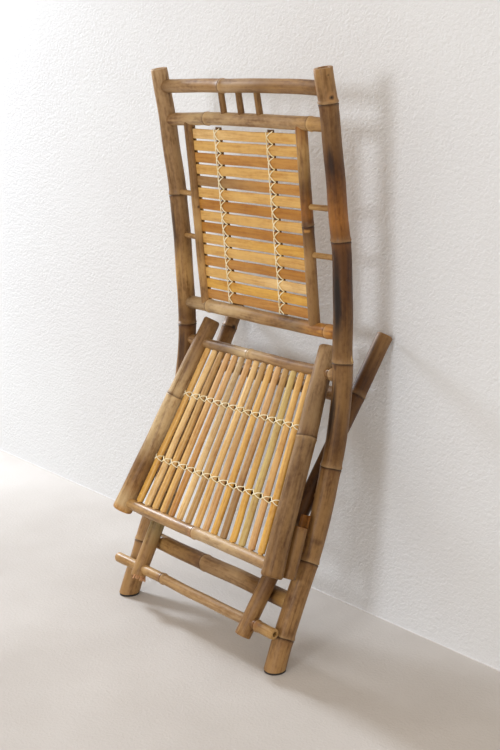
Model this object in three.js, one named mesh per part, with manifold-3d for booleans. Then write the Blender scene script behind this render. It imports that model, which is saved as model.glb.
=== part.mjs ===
// Bamboo folding chair, folded flat and leaning back on its rear legs.
// Millimetres, Z up. The sitter faces -Y, so the sitter's left is +X.
import * as THREE from "three";
import { mergeVertices } from "three/addons/utils/BufferGeometryUtils.js";
import Module from "manifold-3d";

const wasm = await Module();
wasm.setup();

// Fits
const clearance = 0.3;
const overrun = 3;
const tenonDepth = 11;
const tenonShare = 0.58;
const endChamfer = 1.2;

// Culm joints, the raised rings of bamboo
const ringRise = 1.1;
const ringHalfWidth = 4;

// Tall frame: two bent stiles with feet below and the backrest above
const stileSpacing = 400;
const stileSetback = 144.5;
const stileFootDiameter = 36;
const stileTopDiameter = 29.5;
const stilePathShares = [
  [0, 0], [0.105, 0.29], [0.2025, 0.565], [0.28, 0.752], [0.373, 0.9],
  [0.46, 0.98], [0.531, 1], [0.66, 0.965], [0.773, 0.88], [0.933, 0.72], [1, 0.623],
];
const stileRingShares = {
  left: [0.053, 0.185, 0.347, 0.525, 0.727, 0.945],
  right: [0.1, 0.31, 0.529, 0.775],
};
const padHeight = 4;
const padInset = 0.8;
const stretcherHeight = 103;
const stretcherDiameter = 29;
const stretcherSetback = 1.6;
const stretcherRingShares = [0.43];
const pivotHeight = 268;
const hingeHeight = 467;

// Back rails and what stands between them
const stileTopRise = 30;
const topRailDiameter = 22.5;
const topRailRise = 5;
const topRailRingShares = [0.4, 0.635];
const spindleRise = 55;
const upperRailDiameter = 21.5;
const upperRailRise = 4;
const upperRailRingShares = [0.271, 0.892];
const panelRise = 327;
const lowerRailRoom = 25;
const lowerRailDiameter = 23;
const lowerRailRingShares = [0.168, 0.915];
const spindleDiameter = 11;
const spindleShares = [-0.225, -0.01, 0.215];
const panelStileSpacing = 276;
const panelStileDiameter = 19.5;
const panelShift = -2.3;
const pegDiameter = 9.6;
const pegShares = [0.376, 0.612];
const slatCount = 15;
const slatGap = 3;
const slatThickness = 4;
const slatEndMargin = 2;
const grooveDepth = 5;
const backSplintWidth = 14;
const splintThickness = 3;
const backSplintShares = { right: -0.504, left: 0.435 };

// Seat, swung down in front of the tall frame
const seatReach = 339;
const seatTail = 43;
const seatSideGap = 13;
const seatSplay = 94;
const seatRailRearDiameter = 31;
const seatRailFrontDiameter = 35.5;
const seatRailRingShares = { left: [0.4], right: [0.4] };
const rearBarDiameter = 19;
const rearBarSeat = 20;
const rearBarRingShares = [0.445, 0.936];
const frontBarDiameter = 20;
const frontBarInset = 19;
const frontBarRingShares = [0.506];
const stickCount = 15;
const stickRearGap = 5.8;
const stickFrontGap = 9.5;
const stickRearEdge = 3.2;
const stickFrontEdge = 10.3;
const stickFlatness = 0.72;
const stickNeckDiameter = 8.4;
const stickNeckLength = 5;
const stickTaper = 3;
const seatSplintWidth = 9;
const seatSplintShares = { rear: 0.31, front: 0.703 };

// Hook blocks under the seat rails
const hookDiameter = 24;
const hookWall = 2.9;
const hookLength = 105;
const hookEndInset = 6;
const hookRestGap = 17.7;
const hookGap = 0.8;
const hookLean = 16.2;
const hookPocketLength = 22;
const hookPegCount = 2;
const hookPegDiameter = 6;
const hookPegInset = 14;
const hookPegSpacing = 40;

// Rear legs, folded behind the seat until they rest on the front stretcher
const legRestGap = 0.8;
const legFootReach = 290;
const legEndReach = 248;
const legOverhang = { left: 8, right: 0 };
const legSideGap = 4.2;
const legSplay = 82;
const legDiameter = 27.5;
const legRingShares = { left: [0.36, 0.796], right: [0.3, 0.91] };
const legStretcherReach = 171;
const legStretcherDiameter = 23;
const legStretcherRingShares = [0.3, 0.7];
const rodInset = 17;
const rodDiameter = 18.4;
const rodOverhang = { left: 1.5, right: 9.5 };
const rodRingShares = [0.318, 0.9];
const rodBoreDiameter = 5;
const rodBoreDepth = 14;
const pinDiameter = 10;
const pinSeat = 16;

// Twine
const twineDiameter = 1.6;
const lashSkew = 5;
const lashLift = 2.7;
const lashAngles = [0, 15, 65, 115, 165, 180];

// Facets
const stileFacets = 16;
const poleFacets = 16;
const railFacets = 12;
const stickFacets = 8;
const holeFacets = 8;
const twineFacets = 3;
const edgeFacets = 3;
const stileStep = 95;
const railPieceCount = 4;
const strandPieceCount = 20;
const halvingCount = 24;

const vec = (x, y, z) => new THREE.Vector3(x, y, z);
const axisX = vec(1, 0, 0);
const axisY = vec(0, 1, 0);
const quarterTurn = Math.PI / 2;
const radians = THREE.MathUtils.degToRad;
const lerp = THREE.MathUtils.lerp;

// Closed three.js geometry as a solid
function solidOf(geometry) {
  const bare = new THREE.BufferGeometry();
  bare.setAttribute("position", geometry.getAttribute("position").clone());
  bare.setIndex(geometry.index);
  const merged = mergeVertices(bare);
  const corners = merged.index.array;
  const kept = [];
  for (let i = 0; i < corners.length; i += 3) {
    const [a, b, c] = corners.subarray(i, i + 3);
    if (a !== b && b !== c && c !== a) kept.push(a, b, c);
  }
  return new wasm.Manifold(new wasm.Mesh({
    numProp: 3,
    vertProperties: Float32Array.from(merged.getAttribute("position").array),
    triVerts: Uint32Array.from(kept),
  }));
}

// Named mesh of one solid
function piece(name, solid, finish, parent) {
  const data = solid.getMesh();
  const geometry = new THREE.BufferGeometry();
  geometry.setAttribute("position", new THREE.BufferAttribute(data.vertProperties, 3));
  geometry.setIndex(new THREE.BufferAttribute(data.triVerts, 1));
  geometry.computeVertexNormals();
  const material = new THREE.MeshStandardMaterial({ ...finish, flatShading: true });
  const mesh = new THREE.Mesh(geometry, material);
  mesh.name = name;
  parent.add(mesh);
  return mesh;
}

// Outline of a culm along its axis, with its rings and any hollow ends
function culmOutline(length, startRadius, endRadius, options) {
  const { rings = [], stops = [], grow = 0, chamfer = 0, step = length, bore = 0 } = options;
  const radiusAt = (s) => lerp(startRadius, endRadius, s / length) + grow;
  const stations = [[chamfer, 0], [length - chamfer, 0]];
  const steps = Math.max(Math.round(length / step), 1);
  for (let i = 1; i < steps; i += 1) stations.push([(length * i) / steps, 0]);
  for (const stop of stops) stations.push([stop, 0]);
  for (const share of rings) {
    const middle = share * length;
    stations.push([middle - ringHalfWidth, 0], [middle, ringRise], [middle + ringHalfWidth, 0]);
  }
  stations.sort((a, b) => a[0] - b[0]);
  const outline = stations.map(([s, rise]) => new THREE.Vector2(radiusAt(s) + rise, s));
  if (chamfer > 0) {
    outline.unshift(new THREE.Vector2(radiusAt(0) - chamfer, 0));
    outline.push(new THREE.Vector2(radiusAt(length) - chamfer, length));
  }
  const inner = bore / 2;
  const deep = bore ? rodBoreDepth : 0;
  const first = [new THREE.Vector2(0, deep)];
  const last = [new THREE.Vector2(0, length - deep)];
  if (bore) {
    first.push(new THREE.Vector2(inner, deep), new THREE.Vector2(inner, 0));
    last.unshift(new THREE.Vector2(inner, length), new THREE.Vector2(inner, length - deep));
  }
  return [...first, ...outline, ...last];
}

// Straight culm from one point to another
function culm(start, end, startDiameter, endDiameter, facets, options = {}) {
  const axis = end.clone().sub(start);
  const outline = culmOutline(axis.length(), startDiameter / 2, endDiameter / 2, options);
  const geometry = new THREE.LatheGeometry(outline, facets);
  const turn = new THREE.Quaternion().setFromUnitVectors(axisY, axis.clone().normalize());
  geometry.applyQuaternion(turn);
  geometry.translate(start.x, start.y, start.z);
  return solidOf(geometry);
}

// Plain round bar, for pins, tenons and the holes they sit in
function bar(start, end, diameter, facets = holeFacets) {
  return culm(start, end, diameter, diameter, facets);
}

// Bore in which a faceted bar can turn without its corners rubbing
const turningBore = (diameter, facets) => (diameter + 2 * clearance) / Math.cos(Math.PI / facets);

// Culm bent along a curve that lies flat, square to the given direction
function bentCulm(curve, across, startDiameter, endDiameter, facets, options = {}) {
  const length = curve.getLength();
  const { startOverrun = 0 } = options;
  const outline = culmOutline(length + startOverrun, startDiameter / 2, endDiameter / 2, options);
  const geometry = new THREE.LatheGeometry(outline, facets);
  const places = geometry.getAttribute("position");
  const point = new THREE.Vector3();
  for (let i = 0; i < places.count; i += 1) {
    point.fromBufferAttribute(places, i);
    const along = point.y - startOverrun;
    const share = THREE.MathUtils.clamp(along / length, 0, 1);
    const tangent = curve.getTangentAt(share);
    const lift = across.clone().cross(tangent).normalize();
    const place = curve.getPointAt(share);
    place.addScaledVector(tangent, along - share * length);
    place.addScaledVector(across, point.x).addScaledVector(lift, point.z);
    places.setXYZ(i, place.x, place.y, place.z);
  }
  return solidOf(geometry);
}

// Tenon at the end of a rail: how far it reaches past the post's face, and its hole
function tenon(postCentre, railInner, postDiameter, railDiameter) {
  const inward = railInner.clone().sub(postCentre).normalize();
  const face = postDiameter / 2;
  const diameter = railDiameter * tenonShare;
  const at = (distance) => postCentre.clone().addScaledVector(inward, distance);
  const root = at(face + railDiameter / 2);
  return {
    body: bar(root, at(face - tenonDepth), diameter),
    hole: bar(root, at(face - tenonDepth - clearance), diameter + 2 * clearance),
  };
}

const model = new THREE.Group();
const sides = [["left", 1], ["right", -1]];
const signOf = Object.fromEntries(sides);

const bamboo = (color) => ({ color, roughness: 0.45, metalness: 0 });
const finishes = {
  stile: bamboo(0x8b6b45),
  rail: bamboo(0x94704a),
  leg: bamboo(0x8a7046),
  rod: bamboo(0xc09a58),
  sticks: [0xd9a95c, 0xcf9a4e, 0xe0b66c, 0xc78f52, 0xdcae5f].map(bamboo),
  slats: [0xdbb06a, 0xd3a45c, 0xb98043, 0xdab068, 0x9a7a48].map(bamboo),
  twine: { color: 0xf0dfae, roughness: 0.8, metalness: 0 },
  rubber: { color: 0x1c1c1c, roughness: 0.7, metalness: 0 },
};

// Heights of the back rails and of the stiles' tops, up from the hinge
const lowerRailHeight = hingeHeight + seatTail + lowerRailRoom;
const upperRailHeight = lowerRailHeight + panelRise;
const topRailHeight = upperRailHeight + spindleRise;
const stileHeight = topRailHeight + stileTopRise - padHeight;

// Value at which a growing function of it passes zero
function solve(valueOf, from, to) {
  let low = from;
  let high = to;
  for (let i = 0; i < halvingCount; i += 1) {
    const middle = (low + high) / 2;
    if (valueOf(middle) < 0) low = middle;
    else high = middle;
  }
  return low;
}

// Stile path, shared by everything that meets the stiles
const stileCurve = new THREE.CatmullRomCurve3(
  stilePathShares.map(([rise, setback]) => (
    vec(0, setback * stileSetback, padHeight + rise * stileHeight)
  )),
  false,
  "centripetal",
);

const stileShareAt = (height) => solve((share) => stileCurve.getPointAt(share).z - height, 0, 1);

function stileAt(height, x) {
  const place = stileCurve.getPointAt(stileShareAt(height));
  return vec(x, place.y, height);
}

function stileDiameterAt(height) {
  return lerp(stileFootDiameter, stileTopDiameter, stileShareAt(height));
}

const stileX = stileSpacing / 2;
const hinge = stileAt(hingeHeight, 0);
const pivot = stileAt(pivotHeight, 0);

// Angle at which the folded legs rest on the front of the stretcher
const restAt = stileAt(stretcherHeight, 0).add(vec(0, stretcherSetback, 0));
const restReach = pivot.distanceTo(restAt);
const restOffset = (legDiameter + stretcherDiameter) / 2 + legRestGap;
const legFold = Math.atan2(pivot.z - restAt.z, pivot.y - restAt.y)
  - Math.asin(restOffset / restReach);

// Rail diameter and the hook blocks' place under the rails, by the distance from the hinge
const railDiameterAt = (reach) => lerp(
  seatRailRearDiameter, seatRailFrontDiameter, (reach + seatTail) / (seatReach + seatTail),
);
const hookReach = seatReach - hookEndInset;
const hookRear = hookReach - hookLength;
const hookDistance = (railDiameterAt(hookReach) + hookDiameter) / 2 + hookGap;
const hookDrop = hookDistance * Math.cos(radians(hookLean));
const hookOutset = hookDistance * Math.sin(radians(hookLean));

// Angle at which the folded seat holds its hook blocks just in front of the stiles
function hookNearness(angle) {
  const corner = vec(0, -hookReach, -hookDrop - hookDiameter / 2).applyAxisAngle(axisX, angle);
  corner.add(hinge);
  const stileFront = stileAt(corner.z, 0).y - stileDiameterAt(corner.z) / 2;
  return corner.y + hookRestGap - stileFront;
}
const seatFold = solve(hookNearness, 0, quarterTurn);

// Seat and rear legs turn about the hinge and the pivot
const seat = new THREE.Group();
seat.position.copy(hinge);
seat.rotation.x = seatFold;
const legs = new THREE.Group();
legs.position.copy(pivot);
legs.rotation.x = legFold;
model.add(seat, legs);

function stile(side, grow) {
  const curve = stileCurve.clone();
  curve.points.forEach((point) => point.setX(signOf[side] * stileX));
  return bentCulm(curve, axisX, stileFootDiameter, stileTopDiameter, stileFacets, {
    rings: stileRingShares[side],
    grow,
    chamfer: endChamfer,
    step: stileStep,
    startOverrun: stileFootDiameter,
  });
}

const stiles = {};
const stileGuards = {};
for (const [side] of sides) {
  stiles[side] = stile(side, 0);
  stileGuards[side] = stile(side, clearance);
}

// Rail between the stiles, bowed upward, coped and tenoned at both ends
function stileRail(name, height, diameter, rise, rings, setback = 0) {
  const along = (x) => stileAt(height, x).add(vec(0, setback, 0));
  const ends = sides.map(([, sign]) => along(sign * stileX));
  const middle = along(0).add(vec(0, 0, 2 * rise));
  const curve = new THREE.QuadraticBezierCurve3(ends[1], middle, ends[0]);
  let body = bentCulm(curve, axisY, diameter, diameter, railFacets, {
    rings, step: stileSpacing / railPieceCount,
  });
  for (const [side, sign] of sides) {
    const joint = tenon(along(sign * stileX), along(0), stileDiameterAt(height), diameter);
    body = body.subtract(stileGuards[side]).add(joint.body);
    stiles[side] = stiles[side].subtract(joint.hole);
  }
  return { name, body, curve, diameter };
}

const topRail = stileRail(
  "top_rail", topRailHeight, topRailDiameter, topRailRise, topRailRingShares,
);
const upperRail = stileRail(
  "upper_rail", upperRailHeight, upperRailDiameter, upperRailRise, upperRailRingShares,
);
const lowerRail = stileRail(
  "lower_back_rail", lowerRailHeight, lowerRailDiameter, 0, lowerRailRingShares,
);
const stretcher = stileRail(
  "front_stretcher", stretcherHeight, stretcherDiameter, 0, stretcherRingShares, stretcherSetback,
);

// Point on a bowed rail's centre line at a distance from the middle plane
function railPoint(rail, x) {
  const share = (x + stileX) / stileSpacing;
  return rail.curve.getPoint(share);
}

// Upright between two rails, necked into a hole in each
function upright(below, above, xBelow, xAbove, diameter, facets) {
  const low = railPoint(below, xBelow);
  const high = railPoint(above, xAbove);
  const upward = high.clone().sub(low).normalize();
  const neck = diameter * tenonShare;
  const start = low.clone().addScaledVector(upward, below.diameter / 2 + ringRise + clearance);
  const end = high.clone().addScaledVector(upward, -above.diameter / 2 - ringRise - clearance);
  const deep = tenonDepth / 2;
  let body = culm(start, end, diameter, diameter, facets);
  const seats = [[start, -1, below], [end, 1, above]];
  for (const [face, sign, rail] of seats) {
    const inside = face.clone().addScaledVector(upward, -sign * endChamfer);
    const tip = face.clone().addScaledVector(upward, sign * deep);
    const bottom = face.clone().addScaledVector(upward, sign * (deep + clearance));
    body = body.add(bar(inside, tip, neck));
    rail.body = rail.body.subtract(bar(inside, bottom, neck + 2 * clearance));
  }
  return body;
}

spindleShares.forEach((share, i) => {
  const x = share * stileX;
  const body = upright(upperRail, topRail, x, x, spindleDiameter, holeFacets);
  piece(`spindle_${i + 1}`, body, finishes.rail, model);
});

// Panel that carries the back slats
const panelFoot = railPoint(lowerRail, 0);
const panelHead = railPoint(upperRail, 0);
panelHead.z = upperRailHeight;
const panelTilt = Math.atan2(panelFoot.y - panelHead.y, panelHead.z - panelFoot.z);
const panelUp = vec(0, -Math.sin(panelTilt), Math.cos(panelTilt));
const panelBack = vec(0, Math.cos(panelTilt), Math.sin(panelTilt));
const panelLength = panelHead.distanceTo(panelFoot);
const slatsStart = lowerRailDiameter / 2 + slatEndMargin;
const slatsEnd = panelLength - upperRailDiameter / 2 - slatEndMargin;
const slatPitch = (slatsEnd - slatsStart) / slatCount;
const slatAlong = (i) => slatsEnd - slatPitch / 2 - i * slatPitch;
const panelStileX = panelStileSpacing / 2;
const slatLength = panelStileSpacing - panelStileDiameter + 2 * (grooveDepth - clearance);

const panelPoint = (x, along, back = 0) => panelFoot.clone()
  .addScaledVector(axisX, x)
  .addScaledVector(panelUp, along)
  .addScaledVector(panelBack, back);

// Box laid in the slanted panel
function panelBox(width, depth, height, centre) {
  const geometry = new THREE.BoxGeometry(width, depth, height);
  geometry.rotateX(panelTilt);
  geometry.translate(centre.x, centre.y, centre.z);
  return solidOf(geometry);
}

for (const [side, sign] of sides) {
  const x = panelShift + sign * panelStileX;
  let body = upright(lowerRail, upperRail, x, x, panelStileDiameter, railFacets);
  const grooveWidth = grooveDepth + overrun;
  const grooveCentre = panelPoint(
    x - sign * (panelStileDiameter / 2 - grooveDepth + grooveWidth / 2), (slatsStart + slatsEnd) / 2,
  );
  body = body.subtract(panelBox(
    grooveWidth, slatThickness + 2 * clearance, slatsEnd - slatsStart + 2 * clearance, grooveCentre,
  ));
  for (const share of pegShares) {
    const height = lerp(lowerRailHeight, upperRailHeight, share);
    const post = stileAt(height, sign * stileX);
    const root = panelPoint(x, share * panelLength);
    const outward = post.clone().sub(root).normalize();
    const face = stileDiameterAt(height) / 2;
    const tip = post.clone().addScaledVector(outward, tenonDepth - face);
    const bottom = tip.clone().addScaledVector(outward, clearance);
    const start = root.clone().addScaledVector(outward, panelStileDiameter / 4);
    body = body.add(bar(start, tip, pegDiameter));
    stiles[side] = stiles[side].subtract(bar(start, bottom, pegDiameter + 2 * clearance));
  }
  piece(`panel_stile_${side}`, body, finishes.rail, model);
}

// Flat strip along X with round edges
function roundedPlate(length, width, thickness) {
  const outline = new THREE.Shape();
  const round = thickness / 2;
  const half = width / 2;
  outline.moveTo(round - half, -round);
  outline.lineTo(half - round, -round);
  outline.absarc(half - round, 0, round, -quarterTurn, quarterTurn, false);
  outline.lineTo(round - half, round);
  outline.absarc(round - half, 0, round, quarterTurn, 3 * quarterTurn, false);
  const geometry = new THREE.ExtrudeGeometry(outline, {
    depth: length, bevelEnabled: false, curveSegments: edgeFacets,
  });
  geometry.translate(0, 0, -length / 2);
  geometry.rotateY(quarterTurn);
  return geometry;
}

for (let i = 0; i < slatCount; i += 1) {
  const slat = solidOf(roundedPlate(slatLength, slatPitch - slatGap, slatThickness));
  const finish = finishes.slats[i % finishes.slats.length];
  const mesh = piece(`back_slat_${String(i + 1).padStart(2, "0")}`, slat, finish, model);
  mesh.position.copy(panelPoint(panelShift, slatAlong(i)));
  mesh.rotation.x = panelTilt;
}

// Twine strand through a few points, square to the given direction
function strand(points, across) {
  const curve = new THREE.CatmullRomCurve3(points, false, "centripetal");
  const lengths = curve.getLengths((points.length - 1) * strandPieceCount);
  const stops = points.slice(1, -1).map((point, i) => lengths[(i + 1) * strandPieceCount]);
  return bentCulm(curve, across, twineDiameter, twineDiameter, twineFacets, { stops });
}

// Splints behind the slats, with the twine that ties each slat to them
for (const [side, share] of Object.entries(backSplintShares)) {
  const x = panelShift + share * panelStileX;
  const back = slatThickness / 2 + clearance + splintThickness / 2;
  const front = -(slatThickness / 2 + clearance + twineDiameter / 2);
  const low = lowerRailDiameter / 2 + clearance;
  const high = panelLength - upperRailDiameter / 2 - clearance;
  let body = panelBox(
    backSplintWidth, splintThickness, high - low, panelPoint(x, (low + high) / 2, back),
  );
  const reach = slatPitch / 2;
  for (let i = 0; i < slatCount; i += 1) {
    const along = slatAlong(i);
    body = body.add(strand([
      panelPoint(x, along - reach + twineDiameter / 4, back),
      panelPoint(x, along - reach + twineDiameter / 4, front),
      panelPoint(x + lashSkew, along - reach / 4, front),
      panelPoint(x, along + reach, front - twineDiameter / 4),
    ], axisX));
  }
  const lineEnds = [slatsStart, slatsEnd].map((along) => panelPoint(x, along, front));
  body = body.add(bar(...lineEnds, twineDiameter, twineFacets));
  piece(`back_splint_${side}`, body, finishes.twine, model);
}

// Pivot pins, blind in the stiles and in the legs
const pivotLegX = stileX - (stileDiameterAt(pivotHeight) + legDiameter) / 2 - legSideGap;
const legX = (reach) => pivotLegX + (legSplay / 2) * (reach / (legFootReach + legEndReach));
for (const [side, sign] of sides) {
  const outer = vec(sign * (stileX - stileDiameterAt(pivotHeight) / 2 + pinSeat), pivot.y, pivot.z);
  const inner = vec(sign * (pivotLegX - legDiameter / 4), pivot.y, pivot.z);
  const bottom = outer.clone().addScaledVector(axisX, sign * clearance);
  stiles[side] = stiles[side].subtract(bar(inner, bottom, pinDiameter + 2 * clearance));
  piece(`pivot_pin_${side}`, bar(inner, outer, pinDiameter), finishes.rod, model);
}

// Hinge sockets for the rear bar of the seat
const rearBarX = stileX - stileDiameterAt(hingeHeight) / 2 + rearBarSeat;
for (const [side, sign] of sides) {
  const start = hinge.clone().setX(0);
  const end = hinge.clone().setX(sign * (rearBarX + clearance));
  stiles[side] = stiles[side].subtract(
    bar(start, end, turningBore(rearBarDiameter, railFacets), railFacets),
  );
}

// Level cut at the feet, with a pad under each
const footGeometry = new THREE.BoxGeometry(
  2 * stileSpacing, 2 * stileSpacing, 2 * stileFootDiameter,
);
footGeometry.translate(0, 0, padHeight - stileFootDiameter);
const belowFeet = solidOf(footGeometry);
const footTangent = stileCurve.getTangentAt(0);
for (const [side, sign] of sides) {
  const body = stiles[side].subtract(belowFeet);
  piece(`stile_${side}`, body, finishes.stile, model);
  const pad = new THREE.CylinderGeometry(
    stileFootDiameter / 2 - padInset, stileFootDiameter / 2 - 2 * padInset, padHeight, poleFacets,
  );
  pad.rotateX(quarterTurn);
  pad.scale(1, 1 / footTangent.z, 1);
  const mesh = piece(`foot_pad_${side}`, solidOf(pad), finishes.rubber, model);
  mesh.position.set(sign * stileX, 0, padHeight / 2);
}

for (const rail of [topRail, upperRail, lowerRail, stretcher]) {
  piece(rail.name, rail.body, finishes.rail, model);
}

// Seat frame in the seat's own plane: front toward -Y, top toward +Z
const seatHingeX = stileX - (stileDiameterAt(hingeHeight) + railDiameterAt(0)) / 2 - seatSideGap;
const seatRailX = (reach) => seatHingeX + (seatSplay / 2) * (reach / seatReach);
const frontBarReach = seatReach - frontBarInset;

function seatRail(side, grow) {
  const sign = signOf[side];
  return culm(
    vec(sign * seatRailX(-seatTail), seatTail, 0),
    vec(sign * seatRailX(seatReach), -seatReach, 0),
    seatRailRearDiameter,
    seatRailFrontDiameter,
    poleFacets,
    { rings: seatRailRingShares[side], grow, chamfer: endChamfer },
  );
}

const rearBarEnds = [vec(-rearBarX, 0, 0), vec(rearBarX, 0, 0)];
let rearBar = culm(...rearBarEnds, rearBarDiameter, rearBarDiameter, railFacets, {
  rings: rearBarRingShares,
});
const frontBarX = seatRailX(frontBarReach);
let frontBar = culm(
  vec(-frontBarX, -frontBarReach, 0), vec(frontBarX, -frontBarReach, 0),
  frontBarDiameter, frontBarDiameter, railFacets, { rings: frontBarRingShares },
);

for (const [side, sign] of sides) {
  let rail = seatRail(side, 0);
  const railGuard = seatRail(side, clearance);
  rail = rail.subtract(bar(...rearBarEnds, rearBarDiameter + 2 * clearance, railFacets));
  const joint = tenon(
    vec(sign * frontBarX, -frontBarReach, 0), vec(0, -frontBarReach, 0),
    railDiameterAt(frontBarReach), frontBarDiameter,
  );
  frontBar = frontBar.subtract(railGuard).add(joint.body);
  rail = rail.subtract(joint.hole);

  // Hook block, a short hollow culm hung under the rail and cut away on top at its rear end
  const hookPoint = (reach, drop = hookDrop, out = hookOutset) => (
    vec(sign * (seatRailX(reach) + out), -reach, -drop)
  );
  const outer = bar(hookPoint(hookRear), hookPoint(hookReach), hookDiameter, poleFacets);
  const inner = bar(
    hookPoint(hookRear - overrun), hookPoint(hookReach + overrun),
    hookDiameter - 2 * hookWall, poleFacets,
  );
  const pocketFloor = railDiameterAt(hookRear) / 2 + rodDiameter;
  const pocket = new THREE.BoxGeometry(
    2 * hookDiameter, 2 * hookPocketLength, 2 * hookDiameter,
  );
  pocket.translate(
    sign * (seatRailX(hookRear) + hookOutset), -hookRear, hookDiameter - pocketFloor,
  );
  let hook = outer.subtract(inner).subtract(solidOf(pocket));
  for (let i = 0; i < hookPegCount; i += 1) {
    const reach = hookRear + hookPocketLength + hookPegInset + i * hookPegSpacing;
    const depth = railDiameterAt(reach) / 2;
    const toRail = vec(-sign * hookOutset, 0, hookDrop).normalize();
    const from = hookPoint(reach).addScaledVector(toRail, (hookDiameter - hookWall) / 2);
    const railCentre = hookPoint(reach, 0, 0);
    const tip = railCentre.clone().addScaledVector(toRail, -depth / 4);
    const bottom = tip.clone().addScaledVector(toRail, clearance);
    hook = hook.add(bar(from, tip, hookPegDiameter));
    rail = rail.subtract(bar(from, bottom, hookPegDiameter + 2 * clearance));
  }
  piece(`hook_block_${side}`, hook, finishes.rail, seat);
  piece(`seat_rail_${side}`, rail, finishes.stile, seat);
}

// Sticks fill the width between the rails and are necked into both bars
const rearRoom = 2 * seatRailX(0) - railDiameterAt(0) - 2 * stickRearEdge;
const frontRoom = 2 * frontBarX - railDiameterAt(frontBarReach) - 2 * stickFrontEdge;
const stickWidth = (room, gap) => (room - (stickCount - 1) * gap) / stickCount;
const stickRearWidth = stickWidth(rearRoom, stickRearGap);
const stickFrontWidth = stickWidth(frontRoom, stickFrontGap);
const stickRearPitch = stickRearWidth + stickRearGap;
const stickFrontPitch = stickFrontWidth + stickFrontGap;
for (let i = 0; i < stickCount; i += 1) {
  const offset = i - (stickCount - 1) / 2;
  const rear = vec(offset * stickRearPitch, 0, 0);
  const front = vec(offset * stickFrontPitch, -frontBarReach, 0);
  const forward = front.clone().sub(rear).normalize();
  const faces = [
    rear.clone().addScaledVector(forward, rearBarDiameter / 2 + ringRise + clearance),
    front.clone().addScaledVector(forward, -frontBarDiameter / 2 - ringRise - clearance),
  ];
  const ends = [
    faces[0].clone().addScaledVector(forward, -stickNeckLength),
    faces[1].clone().addScaledVector(forward, stickNeckLength),
  ];
  const length = faces[0].distanceTo(faces[1]);
  const profile = [
    [0, 0], [stickNeckDiameter, 0], [stickRearWidth, stickTaper],
    [stickFrontWidth, length - stickTaper], [stickNeckDiameter, length], [0, length],
  ];
  const outline = profile.map(([diameter, s]) => new THREE.Vector2(diameter / 2, s));
  const geometry = new THREE.LatheGeometry(outline, stickFacets);
  geometry.scale(1, 1, stickFlatness);
  const turn = new THREE.Quaternion().setFromUnitVectors(axisY, forward);
  geometry.applyQuaternion(turn);
  geometry.translate(faces[0].x, faces[0].y, faces[0].z);
  const body = solidOf(geometry).add(bar(ends[0], ends[1], stickNeckDiameter, stickFacets));
  const name = `seat_stick_${String(i + 1).padStart(2, "0")}`;
  piece(name, body, finishes.sticks[i % finishes.sticks.length], seat);
  const holeDiameter = stickNeckDiameter + 2 * clearance;
  const rearBottom = ends[0].clone().addScaledVector(forward, -clearance);
  const frontBottom = ends[1].clone().addScaledVector(forward, clearance);
  rearBar = rearBar.subtract(bar(rearBottom, faces[0], holeDiameter, stickFacets));
  frontBar = frontBar.subtract(bar(faces[1], frontBottom, holeDiameter, stickFacets));
}
piece("seat_rear_bar", rearBar, finishes.rail, seat);
piece("seat_front_bar", frontBar, finishes.rail, seat);

// Splints under the sticks, with the twine that crosses over each stick
for (const [place, share] of Object.entries(seatSplintShares)) {
  const reach = share * frontBarReach;
  const pitch = lerp(stickRearPitch, stickFrontPitch, share);
  const width = lerp(stickRearWidth, stickFrontWidth, share);
  const halfThickness = (width * stickFlatness) / 2;
  const drop = halfThickness + clearance + splintThickness / 2;
  const span = (stickCount - 1) * pitch + width + 2 * twineDiameter;
  const geometry = new THREE.BoxGeometry(span, seatSplintWidth, splintThickness);
  geometry.translate(0, -reach, -drop);
  let body = solidOf(geometry);
  const wrap = width / 2 + 2 * clearance + twineDiameter / 2;
  const skew = seatSplintWidth / 2 - twineDiameter;
  for (let i = 0; i < stickCount; i += 1) {
    const x = (i - (stickCount - 1) / 2) * pitch;
    for (const lean of [-1, 1]) {
      const points = lashAngles.map((angle) => vec(
        x - wrap * Math.cos(radians(angle)),
        -reach + skew * lerp(lean, -lean, angle / lashAngles.at(-1)),
        (halfThickness + lashLift + lean * twineDiameter / 4) * Math.sin(radians(angle)),
      ));
      points[0].z = -drop;
      points[points.length - 1].z = -drop;
      body = body.add(strand(points, axisY));
    }
  }
  piece(`seat_splint_${place}`, body, finishes.twine, seat);
}

// Rear legs in their own plane: foot toward +Y, support rod toward -Y
function leg(side, grow) {
  const sign = signOf[side];
  const endReach = legEndReach + legOverhang[side];
  return culm(
    vec(sign * legX(-endReach), -endReach, 0), vec(sign * legX(legFootReach), legFootReach, 0),
    legDiameter, legDiameter, poleFacets,
    { rings: legRingShares[side], grow, chamfer: endChamfer },
  );
}

const legStretcherX = legX(legStretcherReach);
let legStretcher = culm(
  vec(-legStretcherX, legStretcherReach, 0), vec(legStretcherX, legStretcherReach, 0),
  legStretcherDiameter, legStretcherDiameter, railFacets, { rings: legStretcherRingShares },
);

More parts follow.
